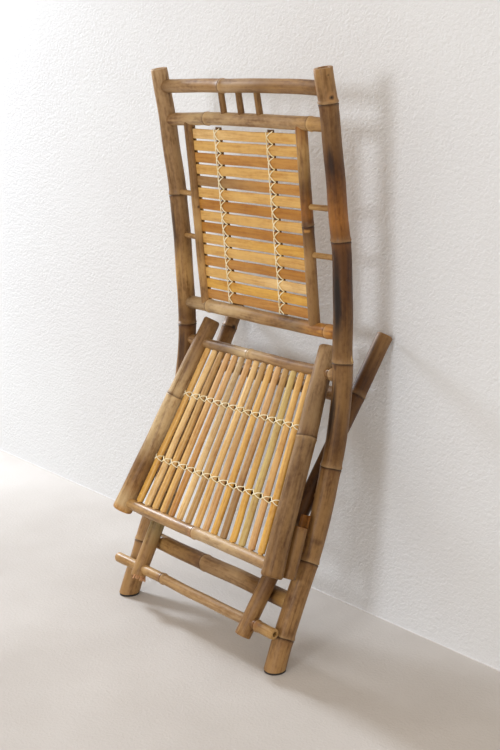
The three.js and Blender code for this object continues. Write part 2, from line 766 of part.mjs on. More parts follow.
// The rod reaches past both hook blocks, whose pockets catch it when the chair is open
const rodReach = legEndReach - rodInset;
const pocketX = seatRailX(hookRear + hookPocketLength / 2) + hookOutset;
const rodX = (side) => signOf[side] * (pocketX + hookDiameter / 2 + rodOverhang[side]);
const rodEnds = [vec(rodX("right"), -rodReach, 0), vec(rodX("left"), -rodReach, 0)];
for (const [side, sign] of sides) {
  const joint = tenon(
    vec(sign * legStretcherX, legStretcherReach, 0), vec(0, legStretcherReach, 0),
    legDiameter, legStretcherDiameter,
  );
  legStretcher = legStretcher.subtract(leg(side, clearance)).add(joint.body);
  const pinStart = vec(sign * (pivotLegX - legDiameter / 4 - clearance), 0, 0);
  const pinEnd = vec(sign * stileX, 0, 0);
  const body = leg(side, 0)
    .subtract(joint.hole)
    .subtract(bar(...rodEnds, rodDiameter + 2 * clearance, railFacets))
    .subtract(bar(pinStart, pinEnd, turningBore(pinDiameter, holeFacets), holeFacets));
  piece(`rear_leg_${side}`, body, finishes.leg, legs);
}
piece("rear_stretcher", legStretcher, finishes.rail, legs);
const rod = culm(...rodEnds, rodDiameter, rodDiameter, railFacets, {
  rings: rodRingShares, chamfer: endChamfer, bore: rodBoreDiameter,
});
piece("support_rod", rod, finishes.rod, legs);

// Origin at the middle of the footprint, on the floor
model.updateMatrixWorld(true);
const extent = new THREE.Box3().setFromObject(model, true);
const middle = extent.getCenter(new THREE.Vector3());
model.position.set(-middle.x, -middle.y, -extent.min.z);
model.updateMatrixWorld(true);

export default model;
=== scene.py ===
import math
import random

import bpy
import numpy as np
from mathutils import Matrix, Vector


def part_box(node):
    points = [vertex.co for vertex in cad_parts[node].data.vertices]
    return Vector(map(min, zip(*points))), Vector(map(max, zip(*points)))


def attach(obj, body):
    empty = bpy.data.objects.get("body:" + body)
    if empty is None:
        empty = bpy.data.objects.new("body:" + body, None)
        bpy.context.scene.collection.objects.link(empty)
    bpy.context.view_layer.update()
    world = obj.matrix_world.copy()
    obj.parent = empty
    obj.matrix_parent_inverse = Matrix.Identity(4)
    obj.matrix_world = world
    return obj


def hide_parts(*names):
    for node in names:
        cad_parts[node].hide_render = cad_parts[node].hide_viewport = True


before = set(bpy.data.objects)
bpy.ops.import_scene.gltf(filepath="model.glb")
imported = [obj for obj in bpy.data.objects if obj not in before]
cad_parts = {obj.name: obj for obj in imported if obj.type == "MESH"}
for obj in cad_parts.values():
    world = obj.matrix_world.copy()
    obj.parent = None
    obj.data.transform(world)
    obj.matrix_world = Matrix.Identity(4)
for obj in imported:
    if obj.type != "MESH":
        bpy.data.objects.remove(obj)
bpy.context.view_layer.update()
mm = 0.001
print("frame loaded:", len(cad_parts), "nodes")


# colours and nodes

def linear(hexColour):
    # sRGB hex to the linear values that sockets take
    channels = [int(hexColour[i:i + 2], 16) / 255 for i in (1, 3, 5)]
    return [c / 12.92 if c <= 0.04045 else ((c + 0.055) / 1.055) ** 2.4 for c in channels] + [1.0]


def setInputs(tree, node, inputs):
    # sockets among the inputs are linked, the rest are values
    for key, value in inputs.items():
        if isinstance(value, bpy.types.NodeSocket):
            tree.links.new(value, node.inputs[key])
        else:
            node.inputs[key].default_value = value


def addNode(tree, kind, inputs=None, **settings):
    node = tree.nodes.new(kind)
    for name, value in settings.items():
        setattr(node, name, value)
    setInputs(tree, node, inputs or {})
    return node


def readAttribute(tree, name, output="Fac"):
    return addNode(tree, "ShaderNodeAttribute", attribute_name=name).outputs[output]


def reckon(tree, operation, *values):
    return addNode(tree, "ShaderNodeMath", dict(enumerate(values)), operation=operation).outputs[0]


def remap(tree, value, low, high, toLow=0.0, toHigh=1.0):
    return addNode(tree, "ShaderNodeMapRange", {
        "Value": value, "From Min": low, "From Max": high, "To Min": toLow, "To Max": toHigh,
    }).outputs["Result"]


def noise(tree, vector, scale, detail, distortion=0.0):
    return addNode(tree, "ShaderNodeTexNoise", {
        "Vector": vector, "Scale": scale, "Detail": detail, "Distortion": distortion}).outputs["Fac"]


def addRamp(tree, level, stops):
    # stops are (position, hex colour, alpha)
    node = addNode(tree, "ShaderNodeValToRGB", {"Fac": level})
    ramp = node.color_ramp
    while len(ramp.elements) < len(stops):
        ramp.elements.new(1.0)
    for element, (position, colour, alpha) in zip(ramp.elements, stops):
        element.position = position
        element.color = linear(colour)[:3] + [alpha]
    return node.outputs


def blend(tree, share, under, over, kind="MIX"):
    # under and over are colour sockets or hex colours
    under, over = (linear(c) if isinstance(c, str) else c for c in (under, over))
    return addNode(tree, "ShaderNodeMix", {"Factor": share, 6: under, 7: over},
                   data_type="RGBA", blend_type=kind).outputs[2]


def reliefOf(tree, height, strength, depth):
    # a fine relief, its depth in millimetres
    return addNode(tree, "ShaderNodeBump", {
        "Height": height, "Strength": strength, "Distance": depth * mm}).outputs["Normal"]


def startMaterial(name):
    material = bpy.data.materials.new(name)
    material.use_nodes = True
    tree = material.node_tree
    tree.nodes.clear()
    shader = addNode(tree, "ShaderNodeBsdfPrincipled")
    addNode(tree, "ShaderNodeOutputMaterial", {"Surface": shader.outputs["BSDF"]})
    return material, tree, shader


def culmCoordinates(tree):
    # straight coordinates of each culm, shifted so that no two have the same figure
    culm = readAttribute(tree, "culm", "Vector")
    seed = readAttribute(tree, "seed")
    shifted = addNode(tree, "ShaderNodeVectorMath", {0: seed, 1: (0.37, 0.61, 0.23), 2: culm},
                      operation="MULTIPLY_ADD").outputs["Vector"]
    return culm, shifted


def streaks(tree, vector, across, along, detail=2.0, offset=0.0):
    # noise drawn out along the fibres; across and along are the figure's size in millimetres
    laid = addNode(tree, "ShaderNodeMapping", {
        "Vector": vector, "Location": (offset, offset, offset),
        "Scale": (1000 / across, 1000 / across, 1000 / along),
    }).outputs["Vector"]
    return noise(tree, laid, 1.0, detail)


# layers of the bamboo's figure: how far each is drawn out along the culm, its detail and its offset
figure = {"fibre": (34, 3.0, 0.0), "band": (16, 2.0, 3.1),
          "cloud": (2.6, 3.0, 7.7), "dapple": (1.7, 4.0, 5.3)}
fleck = {"across": 2.6, "along": 7.0, "offset": 12.3, "colour": "#4a2f1a"}
# the joint's ramp runs from below a joint to above it, in millimetres
joint = {"below": -16.5, "above": 19.5, "waver": 3.0,
         "dusky": "#6b4526", "scar": "#2f1c0e", "band": "#e0c090", "fade": "#d2ac78"}


def bambooSkin(name, look):
    # The hard outer rind of a dried culm: fine straight fibres under a satin coat,
    # darker smoke stains, a thin dark scar and a waxy pale band at every joint; some placed marks are painted
    # shadows.
    material, tree, shader = startMaterial(name)
    culm, shifted = culmCoordinates(tree)

    # fibre bundles are about 0.5 mm wide; they are drawn wider so that they show
    layers = {layer: streaks(tree, shifted, look[layer][0], look[layer][0] * drawn, detail, offset)
              for layer, (drawn, detail, offset) in figure.items()}
    mixed = layers["band"]
    for layer in ("fibre", "cloud", "dapple"):
        mixed = reckon(tree, "MULTIPLY_ADD", layers[layer], look[layer][1], mixed)
    middle = sum(look[layer][1] for layer in figure) / 2
    level = remap(tree, mixed, middle * 0.72, middle * 1.28)
    shade = addRamp(tree, level, [(0.0, look["deep"], 1), (0.55, look["body"], 1), (1.0, look["bright"], 1)])
    colour = blend(tree, 1.0, readAttribute(tree, "tone", "Color"), shade["Color"], "MULTIPLY")

    # small dark flecks in the rind
    flecks = streaks(tree, shifted, fleck["across"], fleck["along"], 2.0, fleck["offset"])
    colour = blend(tree, remap(tree, flecks, 0.66, 0.76, 0.0, look["fleckStrength"]), colour, fleck["colour"])

    # joint bands, by the distance along the culm in millimetres
    ripple = reckon(tree, "MULTIPLY_ADD", layers["cloud"], joint["waver"], readAttribute(tree, "ring"))
    scar, band = look["jointScar"], look["jointBand"]
    jointRamp = addRamp(tree, remap(tree, ripple, joint["below"], joint["above"]), [
        (0.0, joint["dusky"], 0.0), (0.36, joint["dusky"], 0.25 * scar), (0.47, joint["scar"], 0.85 * scar),
        (0.505, joint["scar"], 0.8 * scar), (0.545, joint["band"], 0.6 * band),
        (0.66, joint["fade"], 0.35 * band), (0.85, joint["fade"], 0.0),
    ])
    share = reckon(tree, "MULTIPLY", jointRamp["Alpha"], readAttribute(tree, "nearRing"))
    colour = blend(tree, share, colour, jointRamp["Color"])

    # stains, knots and scorch marks at their own places on the culm; some of these marks are painted shade or
    # painted shadows cast by nearby parts
    for angle, along, halfWidth, halfHeight, strength, stainOrShadowColour in look.get("marks", []):
        radius = look["radius"] * mm
        turn = math.radians(angle)
        centre = (radius * math.cos(turn), radius * math.sin(turn), along * mm)
        offset = addNode(tree, "ShaderNodeVectorMath", {0: culm, 1: centre}, operation="SUBTRACT")
        scaled = addNode(tree, "ShaderNodeVectorMath", {
            0: offset.outputs["Vector"], 1: (1000 / halfWidth, 1000 / halfWidth, 1000 / halfHeight),
        }, operation="MULTIPLY")
        reach = addNode(tree, "ShaderNodeVectorMath", {0: scaled.outputs["Vector"]}, operation="LENGTH")
        ragged = reckon(tree, "MULTIPLY_ADD", layers["band"], 0.9, reach.outputs["Value"])
        colour = blend(tree, remap(tree, ragged, 1.5, 0.85, 0.0, strength), colour, stainOrShadowColour)

    rough = look["roughness"]
    setInputs(tree, shader, {
        "Base Color": colour, "Roughness": remap(tree, layers["band"], 0.3, 0.7, rough - 0.07, rough + 0.1),
        "Normal": reliefOf(tree, mixed, 0.3, 0.6), "IOR": 1.5, "Specular IOR Level": 0.3,
        "Coat Weight": look["coat"], "Coat Roughness": 0.3,
    })
    return material


def cutBamboo(name, pale, dark, rim):
    # A sawn end: pale pith flecked with fibre ends, browner towards the rind, without gloss.
    material, tree, shader = startMaterial(name)
    culm, shifted = culmCoordinates(tree)
    level = reckon(tree, "ADD", noise(tree, shifted, 700.0, 2.0), noise(tree, shifted, 150.0, 3.0))
    face = addRamp(tree, remap(tree, level, 0.75, 1.25), [(0.0, dark, 1), (0.45, pale, 1), (1.0, pale, 1)])
    setInputs(tree, shader, {
        "Base Color": blend(tree, readAttribute(tree, "edge"), face["Color"], rim),
        "Normal": reliefOf(tree, level, 0.5, 0.6), "Roughness": 0.75,
    })
    return material


def palmTwine(name, deep, body, bright):
    # Peeled palm twine or torn bamboo fibre: bare pale fibre, a little glossy, with fine hairs.
    material, tree, shader = startMaterial(name)
    place = addNode(tree, "ShaderNodeTexCoord").outputs["Object"]
    hairs = noise(tree, place, 900.0, 2.0)
    level = reckon(tree, "MULTIPLY_ADD", hairs, 0.6, noise(tree, place, 60.0, 2.0))
    fibre = addRamp(tree, level, [(0.5, deep, 1), (0.72, body, 1), (0.95, bright, 1)])
    setInputs(tree, shader, {
        "Base Color": fibre["Color"], "Normal": reliefOf(tree, hairs, 0.4, 0.3), "Roughness": 0.5})
    return material


def mouldedRubber(name):
    # Moulded black rubber: dull, faintly grainy, dusty grey where it meets the floor.
    material, tree, shader = startMaterial(name)
    place = addNode(tree, "ShaderNodeTexCoord").outputs["Object"]
    grain = noise(tree, place, 800.0, 3.0)
    height = addNode(tree, "ShaderNodeSeparateXYZ", {"Vector": place}).outputs["Z"]
    dust = remap(tree, height, 0.0, 0.003, 0.45, 0.0)
    base = addRamp(tree, grain, [(0.35, "#151313", 1), (0.7, "#2b2826", 1)])
    setInputs(tree, shader, {
        "Base Color": blend(tree, dust, base["Color"], "#5a534b"),
        "Normal": reliefOf(tree, grain, 0.3, 0.3), "Roughness": 0.78,
    })
    return material


# culm making

def cleanSlate():
    if bpy.context.mode != "OBJECT":
        bpy.ops.object.mode_set(mode="OBJECT")
    bpy.ops.object.select_all(action="DESELECT")


def makeActive(piece):
    cleanSlate()
    bpy.context.view_layer.objects.active = piece
    piece.select_set(True)


def pickFaces(test):
    # from edit mode: selects the faces that pass, and stays in edit mode
    bpy.ops.mesh.select_mode(type="FACE")
    bpy.ops.mesh.select_all(action="DESELECT")
    bpy.ops.object.mode_set(mode="OBJECT")
    for face in bpy.context.object.data.polygons:
        face.select = test(face)
    bpy.ops.object.mode_set(mode="EDIT")


def sliceAt(place, direction):
    # from edit mode: a cut through the whole mesh at a place in millimetres
    bpy.ops.mesh.select_all(action="SELECT")
    bpy.ops.mesh.bisect(plane_co=[c * mm for c in place], plane_no=direction)


def readPoints(mesh):
    at = np.empty(len(mesh.vertices) * 3)
    mesh.vertices.foreach_get("co", at)
    return at.reshape(-1, 3)


def movePoints(mesh, points):
    mesh.vertices.foreach_set("co", points.ravel())
    mesh.update()


def giveValues(mesh, name, kind, values):
    attribute = mesh.attributes.new(name, kind, "POINT")
    key = {"FLOAT": "value", "FLOAT_VECTOR": "vector", "FLOAT_COLOR": "color"}[kind]
    attribute.data.foreach_set(key, np.asarray(values, np.float32).ravel())


def addBox(size, centre):
    # a box by its size and middle in millimetres
    cleanSlate()
    bpy.ops.mesh.primitive_cube_add(size=1, location=[c * mm for c in centre])
    box = bpy.context.object
    box.scale = [s * mm for s in size]
    bpy.ops.object.transform_apply(location=True, rotation=True, scale=True)
    return box


def cutAway(piece, *cutters):
    makeActive(piece)
    for cutter in cutters:
        cut = piece.modifiers.new("cut", "BOOLEAN")
        cut.object = cutter
        cut.operation = "DIFFERENCE"
        cut.solver = "EXACT"
        bpy.ops.object.modifier_apply(modifier="cut")
        bpy.data.objects.remove(cutter)


def copyPattern(pattern, name):
    piece = pattern.copy()
    piece.data = pattern.data.copy()
    bpy.context.collection.objects.link(piece)
    piece.name = name
    return piece


def turnCulm(name, profile, sides):
    # A culm turned straight up from the origin; profile is (height, radius) in millimetres.
    cleanSlate()
    length = profile[-1][0] * mm
    bpy.ops.mesh.primitive_cylinder_add(
        vertices=sides, radius=profile[0][1] * mm, depth=length, location=(0, 0, length / 2))
    culm = bpy.context.object
    culm.name = name
    bpy.ops.object.transform_apply(location=True, rotation=True, scale=True)
    bpy.ops.object.mode_set(mode="EDIT")
    pickFaces(lambda face: face.center.z > length * 0.999)
    top = profile[-1][1] / profile[0][1]
    bpy.ops.transform.resize(value=(top, top, 1), center_override=(0, 0, length))
    below, radius = profile[0]
    for height, wanted in profile[1:-1]:
        share = (height - below) / (profile[-1][0] - below)
        found = radius + (profile[-1][1] - radius) * share
        sliceAt((0, 0, height), (0, 0, 1))
        scale = wanted / found
        bpy.ops.transform.resize(value=(scale, scale, 1), center_override=(0, 0, height * mm))
        below, radius = height, wanted
    bpy.ops.object.mode_set(mode="OBJECT")
    return culm


# offsets along the culm and the rise of its surface there, both in millimetres
jointProfile = [(-10, 0), (-6, 0.22), (-3, 0.5), (-1.2, 0.75), (-0.5, 0.1), (0.3, 0.0),
                (1.0, 0.85), (2.4, 1.1), (4.5, 0.6), (7, 0.2), (10, 0)]
jointReach = 12


def culmProfile(length, startRadius, endRadius, rings, step, rounding=1.2, jointRise=1.0, knots=()):
    # heights and radii of a culm that tapers, swells at its joints and is rounded at its ends
    heights = {}
    for height in np.arange(step, length - step / 2, step):
        if all(abs(height - ring) > jointReach for ring in rings):
            heights[round(float(height), 3)] = 0.0
    for ring in rings:
        for offset, rise in jointProfile:
            if 2 < ring + offset < length - 2:
                heights[round(ring + offset, 3)] = rise * jointRise
    for along in knots:
        for offset in range(-8, 9, 2):
            if all(abs(along + offset - height) > 0.8 for height in heights):
                heights[round(along + offset, 3)] = 0.0
    taper = (endRadius - startRadius) / length
    margin = rounding + 0.5
    inner = [(height, startRadius + taper * height + rise) for height, rise in sorted(heights.items())
             if margin < height < length - margin]
    corner = [(0, rounding), (0.3 * rounding, 0.4 * rounding), (rounding, 0)]
    start = [(height, startRadius - inset) for height, inset in corner]
    end = [(length - height, endRadius - inset) for height, inset in reversed(corner)]
    return start + inner + end


dishStep = {"thickness": 0.35, "floorThickness": 1.0, "floorDepth": 0.4}


def dishEnd(culm, top, wall, depth):
    # cuts an end back inside its wall, as a sawn culm is
    makeActive(culm)
    bpy.ops.object.mode_set(mode="EDIT")
    heights = [vertex.co.z for vertex in culm.data.vertices]
    end = max(heights) if top else min(heights)
    pickFaces(lambda face: abs(face.center.z - end) < 1e-5 and abs(face.normal.z) > 0.9)
    bpy.ops.mesh.inset(thickness=wall * mm, depth=0)
    bpy.ops.mesh.inset(thickness=dishStep["thickness"] * mm, depth=-depth * mm)
    bpy.ops.mesh.inset(thickness=dishStep["floorThickness"] * mm, depth=-dishStep["floorDepth"] * mm)
    bpy.ops.object.mode_set(mode="OBJECT")


# the tones of bamboo, from fresh split cane to scorched rind; the darkest tone also serves as painted shade
# on one rear leg
bambooTones = {
    "cream": "#eccd94", "straw": "#e1ba73", "corn": "#e0b358", "sand": "#ccb790", "reed": "#c1a06a",
    "honey": "#c6944e", "putty": "#b69c78", "amber": "#bb863b", "cane": "#a68558", "hazel": "#8d6e45",
    "driftwood": "#8f7757", "rust": "#9d6b31", "umber": "#75562f", "scorchedOrShaded": "#58391a",
    "khaki": "#cdb87a", "blush": "#d6af7a", "moss": "#9a9069",
}


def giveTones(mesh, place, stops, tones):
    # the tone at each point, between named tones at their stops
    colours = np.array([linear(bambooTones[name]) for name in tones])
    mixed = [np.interp(place, stops, channel) for channel in colours.T]
    giveValues(mesh, "tone", "FLOAT_COLOR", np.stack(mixed, 1))


# distances in millimetres: past farRing a joint has no mark, and within endDepth a flat face is sawn
marking = {"farRing": 40.0, "bandReach": 25, "bandFade": 8, "endDepth": 9, "swell": 7.0, "endFade": 12}


def markCulm(culm, rings, tones, seed, wander=0.5, flat=0.02, knots=()):
    # Notes each point's place on the straight culm for the figure, then makes it uneven as grown.
    mesh = culm.data
    at = readPoints(mesh)
    count = len(at)
    height = at[:, 2]
    low, high = height.min(), height.max()
    giveValues(mesh, "culm", "FLOAT_VECTOR", at)
    giveValues(mesh, "seed", "FLOAT", np.full(count, float(seed)))
    far = marking["farRing"]
    distance = np.full(count, far)
    for ring in rings:
        offset = height / mm - ring
        distance = np.where(np.abs(offset) < np.abs(distance), offset, distance)
    giveValues(mesh, "ring", "FLOAT", np.clip(distance, -far, far))
    nearness = (marking["bandReach"] - np.abs(distance)) / marking["bandFade"]
    giveValues(mesh, "nearRing", "FLOAT", np.clip(nearness, 0, 1))
    giveTones(mesh, (height - low) / (high - low), *zip(*tones))
    radial = np.hypot(at[:, 0], at[:, 1])
    toEnd = np.minimum(height - low, high - height)
    atEnd = toEnd < 0.1 * mm
    rim = radial[atEnd].max() if atEnd.any() else radial.max()
    giveValues(mesh, "edge", "FLOAT", np.clip((radial / rim - 0.72) / 0.28, 0, 1))
    for face in mesh.polygons:
        middle = face.center.z
        nearEnd = min(middle - low, high - middle) < marking["endDepth"] * mm
        inRim = face.center.to_2d().length < rim * 0.985
        face.material_index = int(abs(face.normal.z) > 0.6 and nearEnd and inRim)

    own = random.Random(seed)
    phase = [own.uniform(0, 6.28) for _ in range(8)]
    turn = np.arctan2(at[:, 1], at[:, 0])
    oval = 1 + flat * np.sin(2 * turn + phase[0] + height * 9)
    oval += 0.6 * flat * np.sin(3 * turn + phase[1] - height * 14)
    oval += 0.5 * flat * np.sin(turn + phase[2] + height * 31)
    for angle, along, size, rise in knots:
        # an eye where a branch was cut: a raised rim about a small pit
        gap = (turn - math.radians(angle) + math.pi) % (2 * math.pi) - math.pi
        reach = np.hypot(gap * radial, height - along * mm) / (size * mm)
        eye = np.exp(-reach ** 2) - 1.3 * np.exp(-(reach * 2.6) ** 2)
        oval += rise * mm * eye / np.maximum(radial, 1e-4)
    drift = wander * mm * np.clip(toEnd / (marking["endFade"] * mm), 0, 1)
    swell = 0.9 * mm * np.exp(-(distance / marking["swell"]) ** 2)
    moved = at.copy()
    for axis, slow, fast in ((0, 27, 61), (1, 23, 55)):
        sway = np.sin(height * slow + phase[3 + 2 * axis]) + 0.5 * np.sin(height * fast + phase[4 + 2 * axis])
        moved[:, axis] = at[:, axis] * oval + drift * sway
    moved[:, 2] = height + swell * (np.sin(turn + phase[7]) + 0.35 * np.sin(3 * turn + phase[0]))
    movePoints(mesh, moved)


def placeAlong(culm, points, across, length):
    # Bends a straight culm along evenly spaced points, its own X towards "across".
    mesh = culm.data
    at = readPoints(mesh)
    knots = np.array(points, float) * mm
    knots = np.vstack([2 * knots[0] - knots[1], knots, 2 * knots[-1] - knots[-2]])
    steps = len(points) - 1
    travel = at[:, 2] / (length * mm) * steps
    cell = np.clip(np.floor(travel).astype(int), 0, steps - 1)
    t = (travel - cell)[:, None]
    a, b, c, d = knots[cell], knots[cell + 1], knots[cell + 2], knots[cell + 3]
    bend, curl = 2 * a - 5 * b + 4 * c - d, 3 * b - a - 3 * c + d
    place = 0.5 * (2 * b + (c - a) * t + bend * t ** 2 + curl * t ** 3)
    tangent = 0.5 * ((c - a) + 2 * bend * t + 3 * curl * t ** 2)
    tangent /= np.linalg.norm(tangent, axis=1)[:, None]
    across = np.array(across, float)
    side = across - (tangent @ across)[:, None] * tangent
    side /= np.linalg.norm(side, axis=1)[:, None]
    up = np.cross(tangent, side)
    movePoints(mesh, place + side * at[:, :1] + up * at[:, 1:2])


def finishPiece(piece, body, slotName, *materials, node, angle=40):
    # smooth shading, materials, the body that it rides on and the node that it stands for
    makeActive(piece)
    bpy.ops.object.shade_smooth_by_angle(angle=math.radians(angle))
    piece.data.materials.clear()
    for material in materials:
        piece.data.materials.append(material)
    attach(piece, body)
    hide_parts(node)
    return piece


def growCulm(name, spec, body, slotName, skin, node):
    # a whole culm from its dictionary: turned, dished, marked, bent into place and finished
    points = spec["points"]
    length = spec.get("length") or sum(math.dist(a, b) for a, b in zip(points, points[1:]))
    rings = [share * length for share in spec.get("rings", [])]
    radii = [diameter / 2 for diameter in spec["diameters"]]
    profile = culmProfile(length, *radii, rings, spec["step"],
                          spec.get("rounding", 1.2), spec.get("jointRise", 1.0))
    culm = turnCulm(name, profile, spec.get("sides", 32))
    for top, wall, depth in spec.get("dishes", []):
        dishEnd(culm, top, wall, depth)
    markCulm(culm, rings, spec["tones"], spec["seed"], spec.get("wander", 0.4), 0.015)
    placeAlong(culm, points, spec.get("across", (1, 0, 0)), length)
    return finishPiece(culm, body, slotName, skin, sawnEnd, node=node)


# finishes: each layer's width across the culm in millimetres, and its share in the figure

poleLook = {
    "fibre": (1.5, 0.45), "band": (5.0, 1), "cloud": (20.0, 1.3), "dapple": (5.0, 0.8),
    "deep": "#9c8264", "body": "#efe5d8", "bright": "#fffaf0",
    "fleckStrength": 0.16, "jointScar": 0.85, "jointBand": 0.3, "roughness": 0.5, "coat": 0.05, "radius": 16,
}
stripLook = {
    "fibre": (1.3, 0.5), "band": (4.0, 1), "cloud": (16.0, 0.8), "dapple": (5.0, 0.5),
    "deep": "#d2b892", "body": "#f3ece0", "bright": "#fffdf6",
    "fleckStrength": 0.06, "jointScar": 0.5, "jointBand": 0.5, "roughness": 0.46, "coat": 0.06, "radius": 7,
}
smokedPole = bambooSkin("smokedBambooPole", poleLook)
goldenStrip = bambooSkin("goldenSplitBamboo", stripLook)
satinStrip = bambooSkin("satinSplitBamboo", {
    **stripLook, "coat": 0.35, "cloud": (16.0, 1.0), "dapple": (5.0, 0.9), "fleckStrength": 0.14})
sawnEnd = cutBamboo("sawnBambooEnd", "#d9b584", "#8d6438", "#b0713a")
twine = palmTwine("peeledPalmTwine", "#e2cf96", "#f7edc6", "#fdf7dc")
tornFibre = palmTwine("tornBambooFibre", "#8a5a34", "#c08a5c", "#dcae84")
rubber = mouldedRubber("mouldedRubberPad")
print("materials ready")


# the two bent stiles and their pads

stile = {
    "side": [(-117.4, 4), (-93.7, 60), (-69.9, 115.9), (-45.5, 171.5), (-22.7, 227.9), (-3.6, 285.5),
             (10.5, 344.6), (20.5, 404.6), (26.2, 465), (26.9, 525.8), (24.7, 586.5), (20.3, 647.1),
             (13.2, 707.5), (5.0, 767.7), (-3.9, 827.8), (-14.1, 887.7), (-27.3, 947)],
    "length": 972.3, "footDiameter": 36, "topDiameter": 29.5, "footOverrun": 30, "sides": 40,
    "dish": (5.0, 1.2), "sawnAt": 4,
    "left": {
        "x": 200, "rings": [0.053, 0.185, 0.347, 0.525, 0.727, 0.945], "seed": 11,
        "tones": [(0, "cane"), (0.35, "hazel"), (0.4, "umber"), (0.53, "hazel"), (0.65, "scorchedOrShaded"),
                  (0.72, "scorchedOrShaded"), (0.77, "rust"), (0.85, "scorchedOrShaded"), (1, "cane")],
        # angle on the pole, place along it, half width, half height, depth and colour of each stain or
        # painted shadow
        "marks": [(-84, 613, 9, 92, 0.95, "#170e09"), (-100, 425, 8.5, 62, 0.9, "#1a0f08"),
                  (-50, 405, 8, 45, 0.45, "#3a2210"), (-62, 833, 5.5, 30, 0.8, "#22120a"),
                  (-58, 790, 4, 26, 0.45, "#4a2a12"), (14, 517, 3, 9, 0.8, "#dcb878"),
                  (-96, 505, 4, 7, 0.7, "#4a2c16"), (-21, 929, 11, 11, 0.6, "#b88c5a"),
                  (-21, 929, 5, 5, 0.95, "#1c0f07"), (-20, 962, 3, 2.5, 0.8, "#3a2314"),
                  # the dark patches at 186 and 216 mm are painted shade where the hook block stands in front
                  # of the stile, and the dark band at 60 mm is painted shadow of the support rod
                  (-30, 216, 14, 6, 0.5, "#4b2d15"), (-75, 186, 10, 16, 0.35, "#4a2c14"),
                  (-30, 60, 12, 10, 0.3, "#5a3a1c"), (40, 700, 6, 30, 0.35, "#3f2612")],
        "knots": [(-21, 929, 8, 2.0), (14, 517, 5, 0.9)]},
    "right": {
        "x": -200, "rings": [0.1, 0.31, 0.529, 0.775], "seed": 23,
        "tones": [(0, "cane"), (0.35, "cane"), (0.56, "umber"), (0.64, "reed"), (0.7, "hazel"),
                  (1, "putty")],
        "marks": [(-98, 690, 7, 52, 0.8, "#2c180d"), (-70, 672, 5, 22, 0.35, "#3f2613"),
                  (-72, 470, 12, 40, 0.7, "#3a2112"), (-30, 455, 8, 34, 0.45, "#4a2c16"),
                  (-40, 512, 16, 8, 0.6, "#4f2e14"), (-20, 498, 14, 5, 0.45, "#5c3618"),
                  (-60, 756, 12, 6, 0.35, "#5a3a1e"), (-30, 97, 9, 9, 0.5, "#5d3c1f"),
                  (-66, 600, 4, 40, 0.35, "#5b3b20"), (-20, 880, 5, 30, 0.3, "#5f4124")],
        "knots": [(-50, 512, 6, 0.7)]},
}


def growStile(side):
    spec = stile[side]
    overrun = stile["footOverrun"]
    length = stile["length"]
    rings = [share * length for share in spec["rings"]]
    taper = (stile["topDiameter"] - stile["footDiameter"]) / length
    profile = culmProfile(length + overrun, (stile["footDiameter"] - taper * overrun) / 2,
                          stile["topDiameter"] / 2, [ring + overrun for ring in rings], step=11,
                          jointRise=1.25, knots=[knot[1] + overrun for knot in spec["knots"]])
    culm = turnCulm("stile_" + side + "_culm", profile, stile["sides"])
    dishEnd(culm, True, *stile["dish"])
    for vertex in culm.data.vertices:
        vertex.co.z -= overrun * mm
    markCulm(culm, rings, spec["tones"], spec["seed"], 0.7, 0.015, spec["knots"])
    placeAlong(culm, [(spec["x"], y, z) for y, z in stile["side"]], (1, 0, 0), length)
    # the foot is sawn level where its pad begins
    makeActive(culm)
    bpy.ops.object.mode_set(mode="EDIT")
    bpy.ops.mesh.select_all(action="SELECT")
    bpy.ops.mesh.bisect(plane_co=(0, 0, stile["sawnAt"] * mm), plane_no=(0, 0, 1),
                        use_fill=True, clear_inner=True)
    bpy.ops.object.mode_set(mode="OBJECT")
    for face in culm.data.polygons:
        if face.normal.z < -0.95 and face.center.z < (stile["sawnAt"] + 1) * mm:
            face.material_index = 1
    skin = bambooSkin("smokedStile_" + side, {**poleLook, "marks": spec["marks"]})
    return finishPiece(culm, "frame", "bamboo_pole", skin, sawnEnd, node="stile_" + side)


for side in ("left", "right"):
    growStile(side)
print("stiles grown")

# each hollow of a pad is its margin and its depth in millimetres
pad = {"sides": 48, "rim": 0.8, "sole": (3, 0.4), "band": (0.8, 0.3)}
for side in ("left", "right"):
    low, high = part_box("foot_pad_" + side)
    cleanSlate()
    bpy.ops.mesh.primitive_cylinder_add(vertices=pad["sides"], radius=1, depth=high.z - low.z,
                                        location=(low + high) / 2)
    piece = bpy.context.object
    piece.name = "rubberPad_" + side
    piece.scale = ((high.x - low.x) / 2, (high.y - low.y) / 2, 1)
    bpy.ops.object.transform_apply(location=True, rotation=True, scale=True)
    bpy.ops.object.mode_set(mode="EDIT")
    pickFaces(lambda face: face.normal.z < -0.9)
    bpy.ops.mesh.inset(thickness=pad["rim"] * mm, depth=0)
    bpy.ops.mesh.inset(thickness=pad["sole"][0] * mm, depth=-pad["sole"][1] * mm)
    pickFaces(lambda face: abs(face.normal.z) < 0.3)
    bpy.ops.mesh.inset(thickness=pad["band"][0] * mm, depth=-pad["band"][1] * mm)
    bpy.ops.object.mode_set(mode="OBJECT")
    finishPiece(piece, "frame", "rubber_pad", rubber, node="foot_pad_" + side)


# rails between the stiles

def arch(y, z, rise, reach=200):
    # five even points of a rail that bows upward
    return [(x, y, z + rise * (1 - (x / reach) ** 2)) for x in np.linspace(-reach, reach, 5)]


